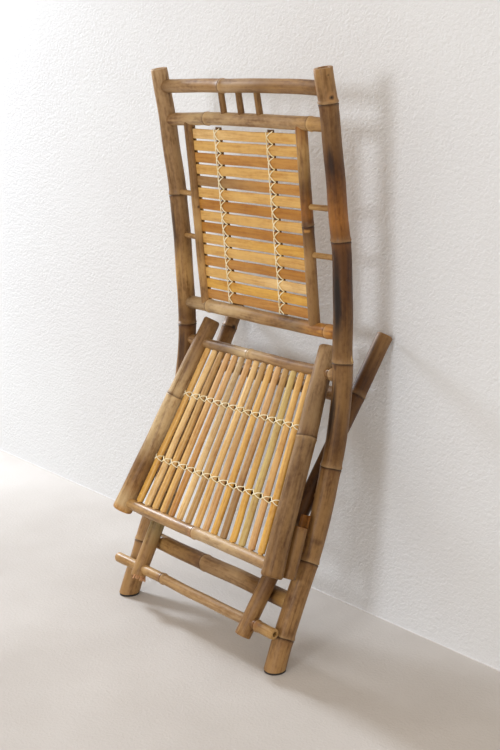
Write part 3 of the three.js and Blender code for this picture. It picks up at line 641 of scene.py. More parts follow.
rails = {
    "top_rail": {
        "points": arch(-20.4, 917, 2.8), "diameters": (23, 23), "rings": [0.4], "seed": 31,
        "tones": [(0, "umber"), (0.15, "putty"), (0.36, "cane"), (0.45, "putty"), (0.66, "hazel"),
                  (0.8, "cane"), (1, "hazel")],
        "marks": [(150, 176, 6, 26, 0.35, "#5d3f22"), (180, 330, 7, 30, 0.3, "#5d3f22"),
                  (175, 392, 12, 5, 0.5, "#b0682c")]},
    "upper_rail": {
        "points": arch(-9.5, 862, 3.6), "diameters": (22, 22), "rings": [0.271, 0.892], "seed": 32,
        "tones": [(0, "cane"), (0.12, "putty"), (0.25, "sand"), (0.5, "putty"), (0.8, "putty"),
                  (0.9, "reed"), (1, "cane")],
        "marks": [(170, 150, 5, 22, 0.3, "#6a4827"), (165, 240, 5, 26, 0.3, "#6a4827"),
                  (175, 393, 12, 5, 0.4, "#a9662c")]},
    "lower_back_rail": {
        "points": arch(26.7, 535, 0), "diameters": (23, 23), "rings": [0.168, 0.915], "seed": 33,
        "tones": [(0, "driftwood"), (0.25, "sand"), (0.6, "cane"), (0.75, "driftwood"), (0.88, "honey"),
                  (1, "amber")],
        "marks": [(160, 346, 10, 14, 0.55, "#6d4020"), (120, 372, 8, 10, 0.6, "#c08a4a"),
                  (175, 388, 8, 8, 0.6, "#6a3c18"), (150, 205, 6, 24, 0.3, "#5f4224")]},
    "front_stretcher": {
        "points": arch(-73.9, 103, 0), "diameters": (29, 29), "rings": [0.43], "seed": 34,
        # the tones darken at 0.76 and 0.9, and the dark patch at 352 mm darkens the stretcher there: painted
        # shadow of the rear leg at the sitter's left
        "tones": [(0, "umber"), (0.12, "reed"), (0.36, "hazel"), (0.66, "putty"), (0.76, "hazel"),
                  (0.9, "umber"), (1, "reed")],
        "marks": [(190, 168, 10, 12, 0.6, "#4e2f16"), (150, 160, 8, 14, 0.5, "#5a3618"),
                  (170, 374, 9, 12, 0.3, "#96703a"), (200, 352, 10, 14, 0.5, "#4f3118"),
                  (110, 90, 8, 70, 0.35, "#4c331c")]},
}
for name, spec in rails.items():
    skin = bambooSkin("smokedRail_" + name, {
        **poleLook, "radius": spec["diameters"][0] / 2, "marks": spec["marks"],
        "jointScar": 0.4, "jointBand": 0.5})
    growCulm(name + "_culm", {**spec, "across": (0, 1, 0), "step": 12, "length": 400},
             "frame", "bamboo_rail", skin, name)

for i, (name, x) in enumerate({"left": -45, "middle": -2, "right": 43}.items()):
    growCulm("spindle_" + name, {
        "points": [(x, -9.5, 865.3), (x, -20.4, 919.7)], "diameters": (11.4, 10.6), "sides": 20, "step": 6,
        "tones": [(0, "hazel"), (1, "hazel")], "seed": 41 + i, "wander": 0.2,
    }, "frame", "bamboo_rail", smokedPole, "spindle_%d" % (i + 1))
print("rails and spindles grown")


# the slatted panel

panelTilt = math.radians(6.315)
panelFoot = Vector((0, 26.7, 535))
panelUp = Vector((0, -math.sin(panelTilt), math.cos(panelTilt)))
panelBack = Vector((0, math.cos(panelTilt), math.sin(panelTilt)))

panelStile = {
    "diameter": 19.5, "length": 329, "sides": 28, "slatsFrom": 13.2, "slatsTo": 316.5,
    "groove": {"depth": 5, "width": 4.6, "cutter": 10},
    "left": {
        "x": 135.7, "sign": 1, "rings": [0.515], "seed": 51, "knots": [(-60, 178, 6, 0.8)],
        "tones": [(0, "hazel"), (0.35, "cane"), (0.52, "scorchedOrShaded"), (0.58, "rust"), (0.7, "umber"),
                  (0.88, "reed"), (1, "rust")],
        "marks": [(-70, 172, 6, 8, 0.6, "#4c2b12"), (-20, 178, 6, 6, 0.6, "#5a3416"),
                  (-60, 163, 8, 3, 0.6, "#d19a50"), (-40, 196, 5, 14, 0.35, "#553519")]},
    "right": {
        "x": -140.3, "sign": -1, "rings": [], "seed": 52, "knots": [(-30, 180, 4, 0.7)],
        "tones": [(0, "cane"), (0.23, "reed"), (0.34, "hazel"), (0.45, "reed"), (0.7, "hazel"),
                  (1, "hazel")],
        "marks": [(-30, 180, 2.5, 3, 0.8, "#3a2110"), (-60, 215, 4, 20, 0.3, "#5e3f22")]},
}
for side in ("left", "right"):
    spec = panelStile[side]
    length = panelStile["length"]
    radius = panelStile["diameter"] / 2
    rings = [share * length for share in spec["rings"]]
    profile = culmProfile(length, radius, radius, rings, step=9, rounding=0.8, jointRise=0.8,
                          knots=[knot[1] for knot in spec["knots"]])
    culm = turnCulm("panelStile_" + side, profile, panelStile["sides"])
    # groove on the inner side for the slats
    groove, bottom, top = panelStile["groove"], panelStile["slatsFrom"], panelStile["slatsTo"]
    middle = -spec["sign"] * (radius - groove["depth"] + groove["cutter"] / 2)
    cutAway(culm, addBox((groove["cutter"], groove["width"], top - bottom), (middle, 0, (bottom + top) / 2)))
    markCulm(culm, rings, spec["tones"], spec["seed"], 0.3, 0.012, spec["knots"])
    low = panelFoot + Vector((spec["x"], 0, 0))
    high = low + panelUp * length
    placeAlong(culm, [tuple(low), tuple(high)], (1, 0, 0), length)
    skin = bambooSkin("smokedPanelStile_" + side, {**poleLook, "radius": radius, "marks": spec["marks"]})
    finishPiece(culm, "frame", "bamboo_rail", skin, sawnEnd, node="panel_stile_" + side)

sidePegs = {"heights": {"low": (13.09, 657.95, 19.14), "high": (4.55, 735.12, 9.47)}, "diameter": 9.6}
for side, sign in (("left", 1), ("right", -1)):
    panelX = panelStile[side]["x"]
    for i, (level, (yPanel, z, yStile)) in enumerate(sidePegs["heights"].items()):
        growCulm("sidePeg_%s_%s" % (side, level), {
            "points": [(panelX, yPanel, z), (sign * 200, yStile, z)],
            "diameters": (sidePegs["diameter"],) * 2, "sides": 18, "step": 6, "across": (0, 1, 0),
            "tones": [(0, "reed"), (1, "cane")], "seed": 55 + i + 3 * (sign > 0), "wander": 0.15,
        }, "frame", "bamboo_rail", smokedPole, "panel_stile_" + side)

slat = {
    "count": 15, "x": -2.3, "length": 265.9, "width": 17.2, "thickness": 4.0,
    "pitch": 20.183, "first": 306.15, "edgeRound": 1.5, "toneReach": 0.06,
    # tones of each strip, from the sitter's right to the left
    "tones": [("cream", "straw"), ("straw", "straw"), ("honey", "honey"), ("straw", "straw"),
              ("cane", "honey"), ("straw", "straw"), ("amber", "amber"), ("straw", "straw"),
              ("amber", "amber"), ("straw", "corn"), ("straw", "straw"), ("honey", "amber"),
              ("straw", "cream"), ("corn", "corn"), ("honey", "honey")],
}


def shapeSlat():
    # one flat strip with rounded edges, cut along its length so that it can bend
    strip = addBox((slat["length"], slat["thickness"], slat["width"]), (0, 0, 0))
    bpy.ops.object.mode_set(mode="EDIT")
    for reach in range(-120, 121, 15):
        sliceAt((reach, 0, 0), (1, 0, 0))
    bpy.ops.mesh.select_mode(type="EDGE")
    bpy.ops.mesh.select_all(action="DESELECT")
    bpy.ops.object.mode_set(mode="OBJECT")
    mesh = strip.data
    for edge in mesh.edges:
        a, b = (mesh.vertices[i].co for i in edge.vertices)
        lengthwise = abs(a.x - b.x) > 0.5 * (a - b).length
        edge.select = lengthwise and abs(a.y) > 1.2 * mm and abs(a.z) > 2 * mm
    bpy.ops.object.mode_set(mode="EDIT")
    bpy.ops.mesh.bevel(offset=slat["edgeRound"] * mm, segments=3, affect="EDGES")
    bpy.ops.object.mode_set(mode="OBJECT")
    strip.name = "slatPattern"
    return strip


pattern = shapeSlat()
for i in range(slat["count"]):
    strip = copyPattern(pattern, "backSlat_%02d" % (i + 1))
    mesh = strip.data
    at = readPoints(mesh)
    giveValues(mesh, "culm", "FLOAT_VECTOR", at[:, [1, 2, 0]])
    for name, level in (("seed", 60 + i), ("ring", marking["farRing"]), ("nearRing", 0), ("edge", 0)):
        giveValues(mesh, name, "FLOAT", np.full(len(at), float(level)))
    giveTones(mesh, at[:, 0], (-slat["toneReach"], slat["toneReach"]), slat["tones"][i])
    own = random.Random(160 + i)
    bow, tip, crown = own.uniform(-0.4, 0.4), own.uniform(-0.35, 0.35), own.uniform(0.2, 0.5)
    phase, narrow = own.uniform(0, 6.28), own.uniform(0, 0.06)
    across = at[:, 0] / (0.5 * slat["length"] * mm)
    inside = np.clip(1 - across ** 2, 0, 1)
    ripple = 0.2 * np.sin(at[:, 0] * 60 + phase) + 0.12 * np.sin(at[:, 0] * 143 + 2 * phase)
    y = at[:, 1] - crown * mm * (1 - (at[:, 2] / (0.494 * slat["width"] * mm)) ** 2)
    z = at[:, 2] * (1 - narrow * (0.4 + 0.6 * np.sin(at[:, 0] * 25 + phase) ** 2))
    z = z + (bow * inside + tip * across * inside + ripple * inside) * mm
    along = slat["first"] - i * slat["pitch"]
    place = np.array(panelFoot + Vector((slat["x"], 0, 0)) + panelUp * along) * mm
    moved = place + np.outer(at[:, 0], (1, 0, 0)) + np.outer(y, panelBack) + np.outer(z, panelUp)
    movePoints(mesh, moved)
    finishPiece(strip, "frame", "bamboo_slat", goldenStrip, sawnEnd,
                node="back_slat_%02d" % (i + 1), angle=50)
bpy.data.objects.remove(pattern)
print("panel laid")


# twine and splints

def layTwine(name, strands, thickness, body, node, material, slotName, sides=2):
    # strands are lists of points in millimetres, each laid as a smooth round cord
    data = bpy.data.curves.new(name, "CURVE")
    data.dimensions = "3D"
    data.bevel_depth = thickness / 2 * mm
    data.bevel_resolution = sides
    data.use_fill_caps = True
    for strand in strands:
        spline = data.splines.new("NURBS")
        spline.points.add(len(strand) - 1)
        for point, place in zip(spline.points, strand):
            point.co = (*(Vector(place) * mm), 1)
        spline.order_u = 3
        spline.resolution_u = 4
        spline.use_endpoint_u = True
    cord = bpy.data.objects.new(name, data)
    bpy.context.collection.objects.link(cord)
    makeActive(cord)
    bpy.ops.object.convert(target="MESH")
    return finishPiece(bpy.context.object, body, slotName, material, node=node, angle=60)


def laySplint(name, start, end, width, thickness, flatUp, body, node, seed):
    # a split strip behind the slats or under the sticks: bevelled, slightly wavy
    run = (end - start).length
    strip = addBox((width, thickness, run), (0, 0, run / 2))
    strip.name = name
    bpy.ops.object.mode_set(mode="EDIT")
    for height in np.arange(15, run - 5, 15):
        sliceAt((0, 0, height), (0, 0, 1))
    bpy.ops.object.mode_set(mode="OBJECT")
    bevel = strip.modifiers.new("edges", "BEVEL")
    bevel.width = 0.7 * mm
    bevel.segments = 2
    bpy.ops.object.modifier_apply(modifier="edges")
    markCulm(strip, [], [(0, "umber"), (1, "umber")], seed, 0.15, 0.0)
    placeAlong(strip, [tuple(start), tuple(end)], Vector(flatUp).cross(end - start), run)
    return finishPiece(strip, body, "twine_and_splint", smokedPole, sawnEnd, node=node)


backLashing = {
    "left": {"x": 57.73, "bulge": 9.5, "seed": 71}, "right": {"x": -71.85, "bulge": 8, "seed": 72},
    "splintWidth": 14, "splintThickness": 3, "twine": 1.9,
}


def onPanel(x, along, back):
    return panelFoot + Vector((x, 0, 0)) + panelUp * along + panelBack * back


for side in ("left", "right"):
    spec = backLashing[side]
    x, bulge = spec["x"], spec["bulge"]
    node = "back_splint_" + side
    back = slat["thickness"] / 2 + 0.4 + backLashing["splintThickness"] / 2
    laySplint("backSplint_" + side, onPanel(x + 3, 11.8, back), onPanel(x + 3, 318, back),
              backLashing["splintWidth"], backLashing["splintThickness"], panelBack,
              "frame", node, spec["seed"])
    # two strands change sides on every slat; the right one dips behind at each gap
    front = -(slat["thickness"] / 2 + 0.45 + backLashing["twine"] / 2)
    half = slat["pitch"] / 2
    own = random.Random(spec["seed"])
    strands = [[], []]
    for i in range(slat["count"]):
        along = slat["first"] - i * slat["pitch"]
        shift, crossing = own.uniform(-0.5, 0.5), own.uniform(-1.5, 1.5)
        paths = (
            [(-1.4, half - 0.5, front + 0.9), (-0.9, half * 0.5, front), (0.6, crossing, front - 0.4),
             (bulge * 0.5, -half * 0.45, front), (bulge * 0.92, -half + 1.6, front + 0.4)],
            [(bulge + 1.5, half, 0.4), (bulge * 0.55, half * 0.6, front), (1.0, crossing, front - 1.6),
             (-0.7, -half * 0.5, front - 0.2), (-1.4, -half + 0.7, front + 0.6)],
        )
        for strand, path in zip(strands if i % 2 else strands[::-1], paths):
            strand.extend(onPanel(x + shift + across, along + up, out) for across, up, out in path)
    layTwine("backTwine_" + side, strands, backLashing["twine"], "frame", node, twine, "twine_and_splint")
print("back lashed")


# the seat

hinge = Vector((0, 26.3, 467))
seatFold = math.radians(62.797)
seatBack = Vector((0, math.cos(seatFold), math.sin(seatFold)))
seatUp = Vector((0, -math.sin(seatFold), math.cos(seatFold)))


def onSeat(x, reach, up=0.0):
    # a point by its distance forward from the hinge and above the middle of the sticks
    return hinge + Vector((x, 0, 0)) - seatBack * reach + seatUp * up


seatRails = {
    "left": {
        "points": [(148.92, 45.95, 505.24), (201.88, -128.68, 165.5)], "rings": [0.4], "seed": 81,
        "tones": [(0, "putty"), (0.25, "driftwood"), (1, "hazel")],
        "marks": [(60, 150, 9, 6, 0.4, "#5a3b20"), (110, 330, 8, 34, 0.3, "#644424"),
                  (70, 230, 7, 40, 0.3, "#5f4124"), (120, 60, 7, 30, 0.25, "#6a4a2c")]},
    "right": {
        "points": [(-148.92, 45.95, 505.24), (-201.88, -128.68, 165.5)], "rings": [0.4], "seed": 82,
        "tones": [(0, "hazel"), (0.13, "hazel"), (0.38, "sand"), (0.6, "sand"), (0.75, "hazel"),
                  (0.87, "cane"), (0.96, "sand"), (1, "honey")],
        "marks": [(80, 154, 12, 5, 0.5, "#5d3c1e"), (120, 250, 7, 46, 0.3, "#6a4827"),
                  (60, 90, 7, 34, 0.35, "#5f4022"), (95, 300, 5, 24, 0.3, "#674526")]},
}
for side, spec in seatRails.items():
    skin = bambooSkin("smokedSeatRail_" + side, {
        **poleLook, "radius": 17, "marks": spec["marks"], "jointScar": 0.6})
    growCulm("seatRail_" + side, {
        **spec, "diameters": (31, 36.8), "rounding": 3.4, "sides": 40, "step": 12,
        "dishes": [(True, 7.0, 0.8)],
    }, "seat", "bamboo_pole", skin, "seat_rail_" + side)

seatBars = {
    "rear": {
        "points": [(-203.6, 25.8, 466.4), (-100, 25.5, 465), (0, 25.5, 464.4), (100, 25.8, 465.6),
                   (203.6, 26.3, 467)],
        "diameters": (18, 20), "rings": [0.445, 0.936], "seed": 83,
        "tones": [(0, "cane"), (0.3, "driftwood"), (0.44, "sand"), (0.6, "cane"), (1, "hazel")],
        "marks": [(200, 186, 12, 5, 0.4, "#7a5230"), (220, 250, 5, 40, 0.4, "#5f4226"),
                  (215, 110, 5, 34, 0.35, "#644528")]},
    "front": {
        "points": [(-199, -120.9, 180.6), (-100, -121.1, 180.2), (0, -121.1, 180.2), (100, -121, 180.4),
                   (199, -120.9, 180.6)],
        "diameters": (20.4, 20.4), "rings": [0.506], "seed": 84,
        "tones": [(0, "reed"), (0.48, "cane"), (0.6, "sand"), (1, "cane")],
        "marks": [(200, 198, 12, 7, 0.5, "#a1662f"), (170, 190, 8, 5, 0.4, "#6c4524"),
                  (210, 300, 6, 30, 0.25, "#7a5836"), (150, 240, 8, 10, 0.25, "#8f6438")]},
}
for place, spec in seatBars.items():
    skin = bambooSkin("satinSeatBar_" + place, {
        **poleLook, "radius": 10, "marks": spec["marks"], "coat": 0.5, "jointScar": 0.3, "jointBand": 0.6})
    growCulm("seatBar_" + place, {**spec, "across": (0, 1, 0), "step": 12, "jointRise": 1.3},
             "seat", "bamboo_rail", skin, "seat_%s_bar" % place)

stick = {
    "count": 15, "rearWidth": 12.7, "frontWidth": 14, "flatness": 0.72, "neck": 8.4, "neckLength": 5,
    "rearPitch": 18.51, "frontPitch": 23.47, "reach": 320, "rearFace": 9.8, "frontFace": 7.6,
    # rear and front tone of each stick, from the sitter's right
    "tones": [("straw", "corn"), ("cream", "cream"), ("reed", "straw"), ("blush", "straw"),
              ("blush", "honey"), ("sand", "cream"), ("blush", "reed"), ("cream", "straw"), ("reed",
              "blush"), ("straw", "corn"),
              ("blush", "cane"), ("reed", "corn"), ("khaki", "khaki"), ("straw", "blush"), ("straw", "corn")],
}


def shapeStick():
    # One straight stick, a little flattened and widening forward. It is shouldered at the rear and
    # runs its full width into the front bar.
    run = stick["reach"] - stick["rearFace"] - stick["frontFace"] + 2 * stick["neckLength"]
    neck, deep = stick["neck"] / 2, stick["neckLength"]

    def halfWidth(height):
        share = (height - deep) / (run - 2 * deep)
        return (stick["rearWidth"] + (stick["frontWidth"] - stick["rearWidth"]) * share) / 2
    profile = [(0, neck), (deep, neck)]
    for offset, share in [(0.4, 0.3), (1.1, 0.62), (2.2, 0.84), (4, 0.95), (7, 1)]:
        profile.append((deep + offset, neck + (halfWidth(deep + offset) - neck) * share))
    profile += [(height, halfWidth(height)) for height in np.linspace(deep + 18, run - deep - 4, 26)]
    profile += [(run - deep - 0.5, halfWidth(run)), (run - deep, neck), (run, neck)]
    culm = turnCulm("stickPattern", profile, 28)
    for vertex in culm.data.vertices:
        if math.hypot(vertex.co.x, vertex.co.y) > neck * mm * 1.02:
            vertex.co.y *= stick["flatness"]
    return culm


pattern = shapeStick()
for i in range(stick["count"]):
    offset = i - (stick["count"] - 1) / 2
    piece = copyPattern(pattern, "seatStick_%02d" % (i + 1))
    rear = onSeat(offset * stick["rearPitch"], 0)
    front = onSeat(offset * stick["frontPitch"], stick["reach"])
    forward = (front - rear).normalized()
    start = rear + forward * (stick["rearFace"] - stick["neckLength"])
    end = front - forward * (stick["frontFace"] - stick["neckLength"])
    tones = [(0.2, stick["tones"][i][0]), (0.8, stick["tones"][i][1])]
    markCulm(piece, [], tones, 90 + i, 0.3, 0.012)
    placeAlong(piece, [tuple(start), tuple(end)], (1, 0, 0), (end - start).length)
    finishPiece(piece, "seat", "bamboo_stick", satinStrip, sawnEnd,
                node="seat_stick_%02d" % (i + 1), angle=50)
bpy.data.objects.remove(pattern)
print("seat sticks set")

seatLashing = {
    "rear": {"share": 0.31, "seed": 111}, "front": {"share": 0.703, "seed": 112},
    "splintWidth": 9, "splintThickness": 3, "twine": 1.9,
}
for place in ("rear", "front"):
    spec = seatLashing[place]
    share = spec["share"]
    reach = share * stick["reach"]
    pitch = stick["rearPitch"] + (stick["frontPitch"] - stick["rearPitch"]) * share
    half = (stick["rearWidth"] + (stick["frontWidth"] - stick["rearWidth"]) * share) / 2
    thick = half * stick["flatness"]
    drop = thick + 0.4 + seatLashing["splintThickness"] / 2
    edge = (stick["count"] - 1) / 2 * pitch + half + 1.6
    laySplint("seatSplint_" + place, onSeat(-edge, reach, -drop), onSeat(edge, reach, -drop),
              seatLashing["splintWidth"], seatLashing["splintThickness"], seatUp, "seat",
              "seat_splint_" + place, spec["seed"])
    # two strands cross on every stick and change sides between the sticks
    over = thick + 0.3 + seatLashing["twine"] / 2
    gap = pitch / 2
    own = random.Random(spec["seed"])
    strands = [[], []]
    for i in range(stick["count"]):
        x = (i - (stick["count"] - 1) / 2) * pitch
        shift, tip = own.uniform(-0.5, 0.5), own.uniform(4.6, 5.4)
        paths = (
            [(-gap, -tip, -0.4), (-half * 0.85, -tip * 0.7, over * 0.75),
             (-half * 0.4, -tip * 0.32, over + 0.2), (0, 0, over + 1.0), (half * 0.4, tip * 0.32, over + 0.2),
             (half * 0.85, tip * 0.7, over * 0.75), (gap - 0.4, tip, -0.4)],
            [(-gap, tip, -0.8), (-half * 0.85, tip * 0.7, over * 0.75),
             (-half * 0.4, tip * 0.32, over + 0.1), (0, 0, over - 0.1), (half * 0.4, -tip * 0.32, over + 0.1),
             (half * 0.85, -tip * 0.7, over * 0.75), (gap - 0.4, -tip, -0.8)],
        )
        for strand, path in zip(strands if i % 2 else strands[::-1], paths):
            strand.extend(onSeat(x + across, reach + ahead + shift, up) for across, ahead, up in path)
    layTwine("seatTwine_" + place, strands, seatLashing["twine"], "seat", "seat_splint_" + place,
             twine, "twine_and_splint")
print("seat lashed")


# hook blocks under the seat rails

hook = {
    "diameter": 24, "sides": 36, "wall": 2.9, "length": 106,
    "notchLength": 22, "notchHeight": 40, "notchFloor": -6.2,
    "left": {"points": [(195, -51.87, 250.82), (209.56, -99.87, 157.44)], "seed": 121},
    "right": {"points": [(-195, -51.87, 250.82), (-209.56, -99.87, 157.44)], "seed": 122},
    "tones": [(0, "rust"), (0.19, "rust"), (0.235, "hazel"), (1, "hazel")],
}
for side in ("left", "right"):
    spec = hook[side]
    radius = hook["diameter"] / 2
    profile = culmProfile(hook["length"], radius, radius, [], step=8, rounding=0.8)
    culm = turnCulm("hookBlock_" + side, profile, hook["sides"])
    cleanSlate()
    bpy.ops.mesh.primitive_cylinder_add(
        vertices=32, radius=(radius - hook["wall"]) * mm, depth=2 * hook["length"] * mm,
        location=(0, 0, hook["length"] / 2 * mm))
    bore = bpy.context.object
    bpy.ops.object.transform_apply(location=True, rotation=True, scale=True)
    # the rod's notch takes away the upper half at the rear end
    notch = addBox((60, hook["notchHeight"], 2 * hook["notchLength"]),
                   (0, hook["notchFloor"] + hook["notchHeight"] / 2, 0))
    cutAway(culm, bore, notch)
    markCulm(culm, [], hook["tones"], spec["seed"], 0.2, 0.01)
    placeAlong(culm, spec["points"], (1, 0, 0), hook["length"])
    finishPiece(culm, "seat", "bamboo_rail", smokedPole, sawnEnd, node="hook_block_" + side)
print("hook blocks cut")


# rear legs, their stretcher, the support rod and the pivot pins

legs = {
    "left": {
        "points": [(145.5, -140.49, 48.5), (187.1, 140.49, 516.65)], "rings": [0.36, 0.796], "seed": 131,
        # the darkest tones at 0.5 and 0.84 darken the leg where it lies in shade behind the seat: painted
        # shade
        "tones": [(0, "cane"), (0.1, "cane"), (0.2, "umber"), (0.5, "scorchedOrShaded"), (0.65, "umber"),
                  (0.84, "scorchedOrShaded"), (1, "hazel")],
        "marks": [(-60, 70, 6, 60, 0.35, "#55382a"), (-20, 95, 8, 50, 0.4, "#5a3718"),
                  (-40, 436, 12, 5, 0.5, "#3a2412"), (-60, 500, 5, 30, 0.3, "#4a321d"),
                  (-90, 30, 5, 18, 0.3, "#6b4a2c")]},
    "right": {
        "points": [(-146.1, -136.38, 55.36), (-187.1, 140.49, 516.65)], "rings": [0.3, 0.91], "seed": 132,
        "tones": [(0, "cane"), (0.1, "cane"), (0.2, "moss"), (0.35, "cane"), (0.8, "cane"), (1, "umber")],
        "marks": [(-40, 60, 7, 20, 0.25, "#7d6238"), (-20, 130, 6, 24, 0.3, "#6e5028"),
                  (-12, 493, 5.5, 5.5, 0.95, "#1c1008"), (-30, 488, 14, 6, 0.4, "#4b2e16"),
                  (-70, 20, 5, 12, 0.25, "#c7a468")]},
}
for side, spec in legs.items():
    skin = bambooSkin("smokedRearLeg_" + side, {
        **poleLook, "radius": 13.7, "marks": spec["marks"], "jointScar": 0.6})
    growCulm("rearLeg_" + side, {
        **spec, "diameters": (27.5, 27.5), "rounding": 1.6, "sides": 36, "step": 12,
        "dishes": [(False, 5.0, 1.5), (True, 5.0, 1.0)],
    }, "legs", "bamboo_pole", skin, "rear_leg_" + side)

# torn fibres left by the saw around the lower end of the leg at the sitter's right
fray = {"centre": (-146.1, -136.38, 55.36), "along": (-41.0, 276.87, 461.29), "radius": 13.4,
        "count": 16, "from": -75, "sweep": 150, "thickness": 1.7}
along = Vector(fray["along"]).normalized()
outX = Vector((1, 0, 0))
outX = (outX - along * outX.dot(along)).normalized()
outY = along.cross(outX)
own = random.Random(141)
fibres = []
for i in range(fray["count"]):
    turn = math.radians(fray["from"] + fray["sweep"] * i / (fray["count"] - 1) + own.uniform(-4, 4))
    out = outX * math.cos(turn) + outY * math.sin(turn)
    foot = Vector(fray["centre"]) + out * (fray["radius"] + own.uniform(-0.8, 0.4))
    reach = own.uniform(2.5, 6)
    fibres.append([foot + along * 3.5, foot + out * 0.9 - along * 0.5,
                   foot + out * own.uniform(0.6, 2.2) - along * reach * 0.5,
                   foot + out * own.uniform(0.2, 2.4) - along * reach])

layTwine("tornFibres", fibres, fray["thickness"], "legs", "rear_leg_right", tornFibre, "bamboo_pole", sides=1)
growCulm("rearStretcher", {
    "points": [(-178, 79.25, 414.62), (178, 79.25, 414.62)], "diameters": (23, 23), "rings": [0.3, 0.7],
    "seed": 133, "across": (0, 1, 0), "step": 12, "tones": [(0, "hazel"), (1, "hazel")],
}, "legs", "bamboo_rail", smokedPole, "rear_stretcher")
rodSkin = bambooSkin("goldenRod", {
    **poleLook, "radius": 9.2, "coat": 0.2, "deep": "#b39a70", "jointScar": 0.6,
    "marks": [(150, 132, 10, 8, 0.5, "#7a4c22"), (110, 142, 6, 5, 0.4, "#5c3819"),
              (140, 388, 10, 10, 0.6, "#8a5a2a"), (170, 380, 5, 6, 0.5, "#4f2e14"),
              (120, 398, 6, 6, 0.4, "#5c3819"), (130, 250, 4, 60, 0.2, "#8a6434")]})
growCulm("supportRod", {
    "points": [(-218.03, -127.63, 69.94), (210.03, -127.63, 69.94)], "diameters": (18.4, 18.4),
    "rings": [0.318, 0.9], "seed": 134, "across": (0, 1, 0), "step": 12, "rounding": 2.2, "jointRise": 1.3,
    "dishes": [(True, 2.6, 20)], "tones": [(0, "reed"), (0.8, "putty"), (0.9, "hazel"), (1, "reed")],
}, "legs", "bamboo_rod", rodSkin, "support_rod")
for side, sign in (("left", 1), ("right", -1)):
    growCulm("pivotPin_" + side, {
        "points": [(sign * 158.13, -8.75, 268), (sign * 198.95, -8.75, 268)], "diameters": (10, 10),
        "sides": 24, "across": (0, 1, 0), "step": 8, "tones": [(0, "hazel"), (1, "hazel")], "seed": 135,
        "wander": 0.0,
    }, "frame", "bamboo_rod", smokedPole, "pivot_pin_" + side)
print("legs grown")


# the room: pale plaster wall and a pale concrete floor

def plainSurface(name, light, shade, scale, tooth, depth, roughness, oneSided=False):
    # Trowelled lime plaster or ground concrete: matt, with wide soft mottling and a fine tooth.
    # A one-sided wall is clear from behind, so that it doesn't hide the chair's back.
    material, tree, shader = startMaterial(name)
    place = addNode(tree, "ShaderNodeTexCoord").outputs["Object"]
    mottling = addRamp(tree, noise(tree, place, scale, 6.0), [(0.35, shade, 1), (0.65, light, 1)])
    grains = noise(tree, place, 1000 / tooth, 3.0, 0.6)
    setInputs(tree, shader, {
        "Base Color": mottling["Color"], "Normal": reliefOf(tree, grains, 0.6, depth),
        "Roughness": roughness, "Specular IOR Level": 0.2,
    })
    if oneSided:
        behind = addNode(tree, "ShaderNodeNewGeometry").outputs["Backfacing"]
        setInputs(tree, shader, {"Alpha": reckon(tree, "SUBTRACT", 1.0, behind)})
    return material


room = {"wallY": 152.6, "width": 7000, "height": 4000, "depth": 6000, "bead": 3}


def addPlane(name, extent, place, tip=0.0):
    # a flat face by its two sides and its middle in millimetres, tipped up about X
    cleanSlate()
    bpy.ops.mesh.primitive_plane_add(size=1, location=[c * mm for c in place], rotation=(tip, 0, 0))
    plane = bpy.context.object
    plane.name = name
    plane.scale = (extent[0] * mm, extent[1] * mm, 1)
    return plane


floor = addPlane("floor", (room["width"], room["depth"]), (0, room["wallY"] - room["depth"] / 2, 0))
wall = addPlane("wall", (room["width"], room["height"]), (0, room["wallY"], room["height"] / 2), math.pi / 2)
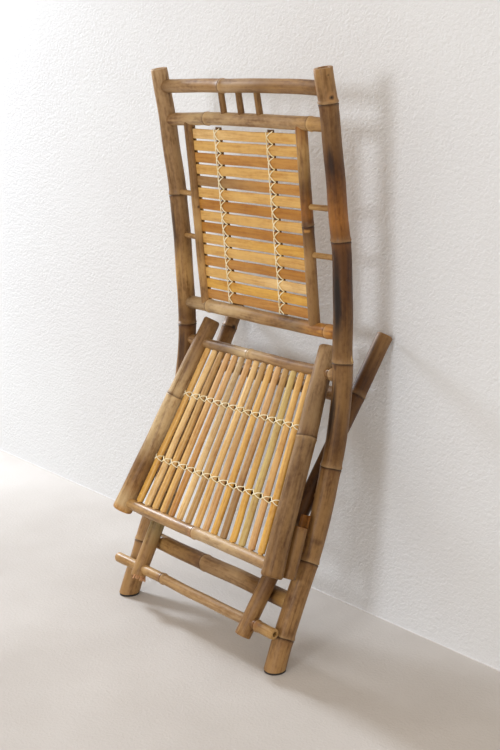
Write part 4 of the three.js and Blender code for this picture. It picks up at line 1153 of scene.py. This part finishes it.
# a bead of plaster along the foot of the wall
bead = addBox((room["width"], room["bead"], room["bead"]), (0, room["wallY"], 0))
bead.name = "plasterBead"
for surface, material in (
        (floor, plainSurface("groundConcrete", "#c5c0ba", "#b8b2ab", 2.6, 5.0, 1.4, 0.7)),
        (wall, plainSurface("limePlaster", "#e5e9ec", "#e1e4e7", 2.2, 5.5, 2.6, 0.85, True)),
        (bead, plainSurface("plasterEdge", "#dedddc", "#d8d6d4", 9.0, 4.0, 0.5, 0.8))):
    makeActive(surface)
    bpy.ops.object.transform_apply(location=True, rotation=True, scale=True)
    surface.data.materials.append(material)

light = {
    "sky": 0.82, "skyColour": "#fff0e0",
    # a lamp before the chair throws the shadows on the wall, one far to the left those on the floor
    "lamps": {"frontLamp": {"place": (0.80, -2.75, 1.15), "aim": (0.05, 0.1, 0.5), "size": (0.5, 0.45),
                            "power": 21.5, "colour": "#f7faff"},
              "sideLamp": {"place": (-2.34, -0.10, 1.60), "aim": (0, -0.12, 0.25), "size": (0.40, 0.5),
                           "power": 71, "colour": "#e8f2ff"}},
}
world = bpy.data.worlds.new("studio")
bpy.context.scene.world = world
world.use_nodes = True
setInputs(world.node_tree, world.node_tree.nodes["Background"], {
    "Color": linear(light["skyColour"]), "Strength": light["sky"]})
for name, spec in light["lamps"].items():
    lampData = bpy.data.lights.new(name, "AREA")
    lampData.shape = "RECTANGLE"
    lampData.size, lampData.size_y = spec["size"]
    lampData.energy = spec["power"]
    lampData.color = linear(spec["colour"])[:3]
    lamp = bpy.data.objects.new(name, lampData)
    bpy.context.collection.objects.link(lamp)
    lamp.location = spec["place"]
    lamp.rotation_mode = "QUATERNION"
    lamp.rotation_quaternion = (Vector(spec["aim"]) - Vector(spec["place"])).to_track_quat("-Z", "Y")

lens = {"place": (1.50006, -1.32133, 0.93529), "azimuth": 48.51, "elevation": 14.01,
        "focal": 57.6, "sensor": 36, "clipStart": 0.05}
cameraData = bpy.data.cameras.new("camera")
cameraData.lens = lens["focal"]
cameraData.sensor_width = lens["sensor"]
camera = bpy.data.objects.new("camera", cameraData)
bpy.context.collection.objects.link(camera)
turn, tip = math.radians(lens["azimuth"]), math.radians(lens["elevation"])
backward = Vector((math.sin(turn) * math.cos(tip), -math.cos(turn) * math.cos(tip), math.sin(tip)))
camera.location = lens["place"]
camera.rotation_mode = "QUATERNION"
camera.rotation_quaternion = (-backward).to_track_quat("-Z", "Y")
cameraData.clip_start = lens["clipStart"]
bpy.context.scene.camera = camera
bpy.context.scene.view_settings.view_transform = "Standard"
print("room, light and camera set")
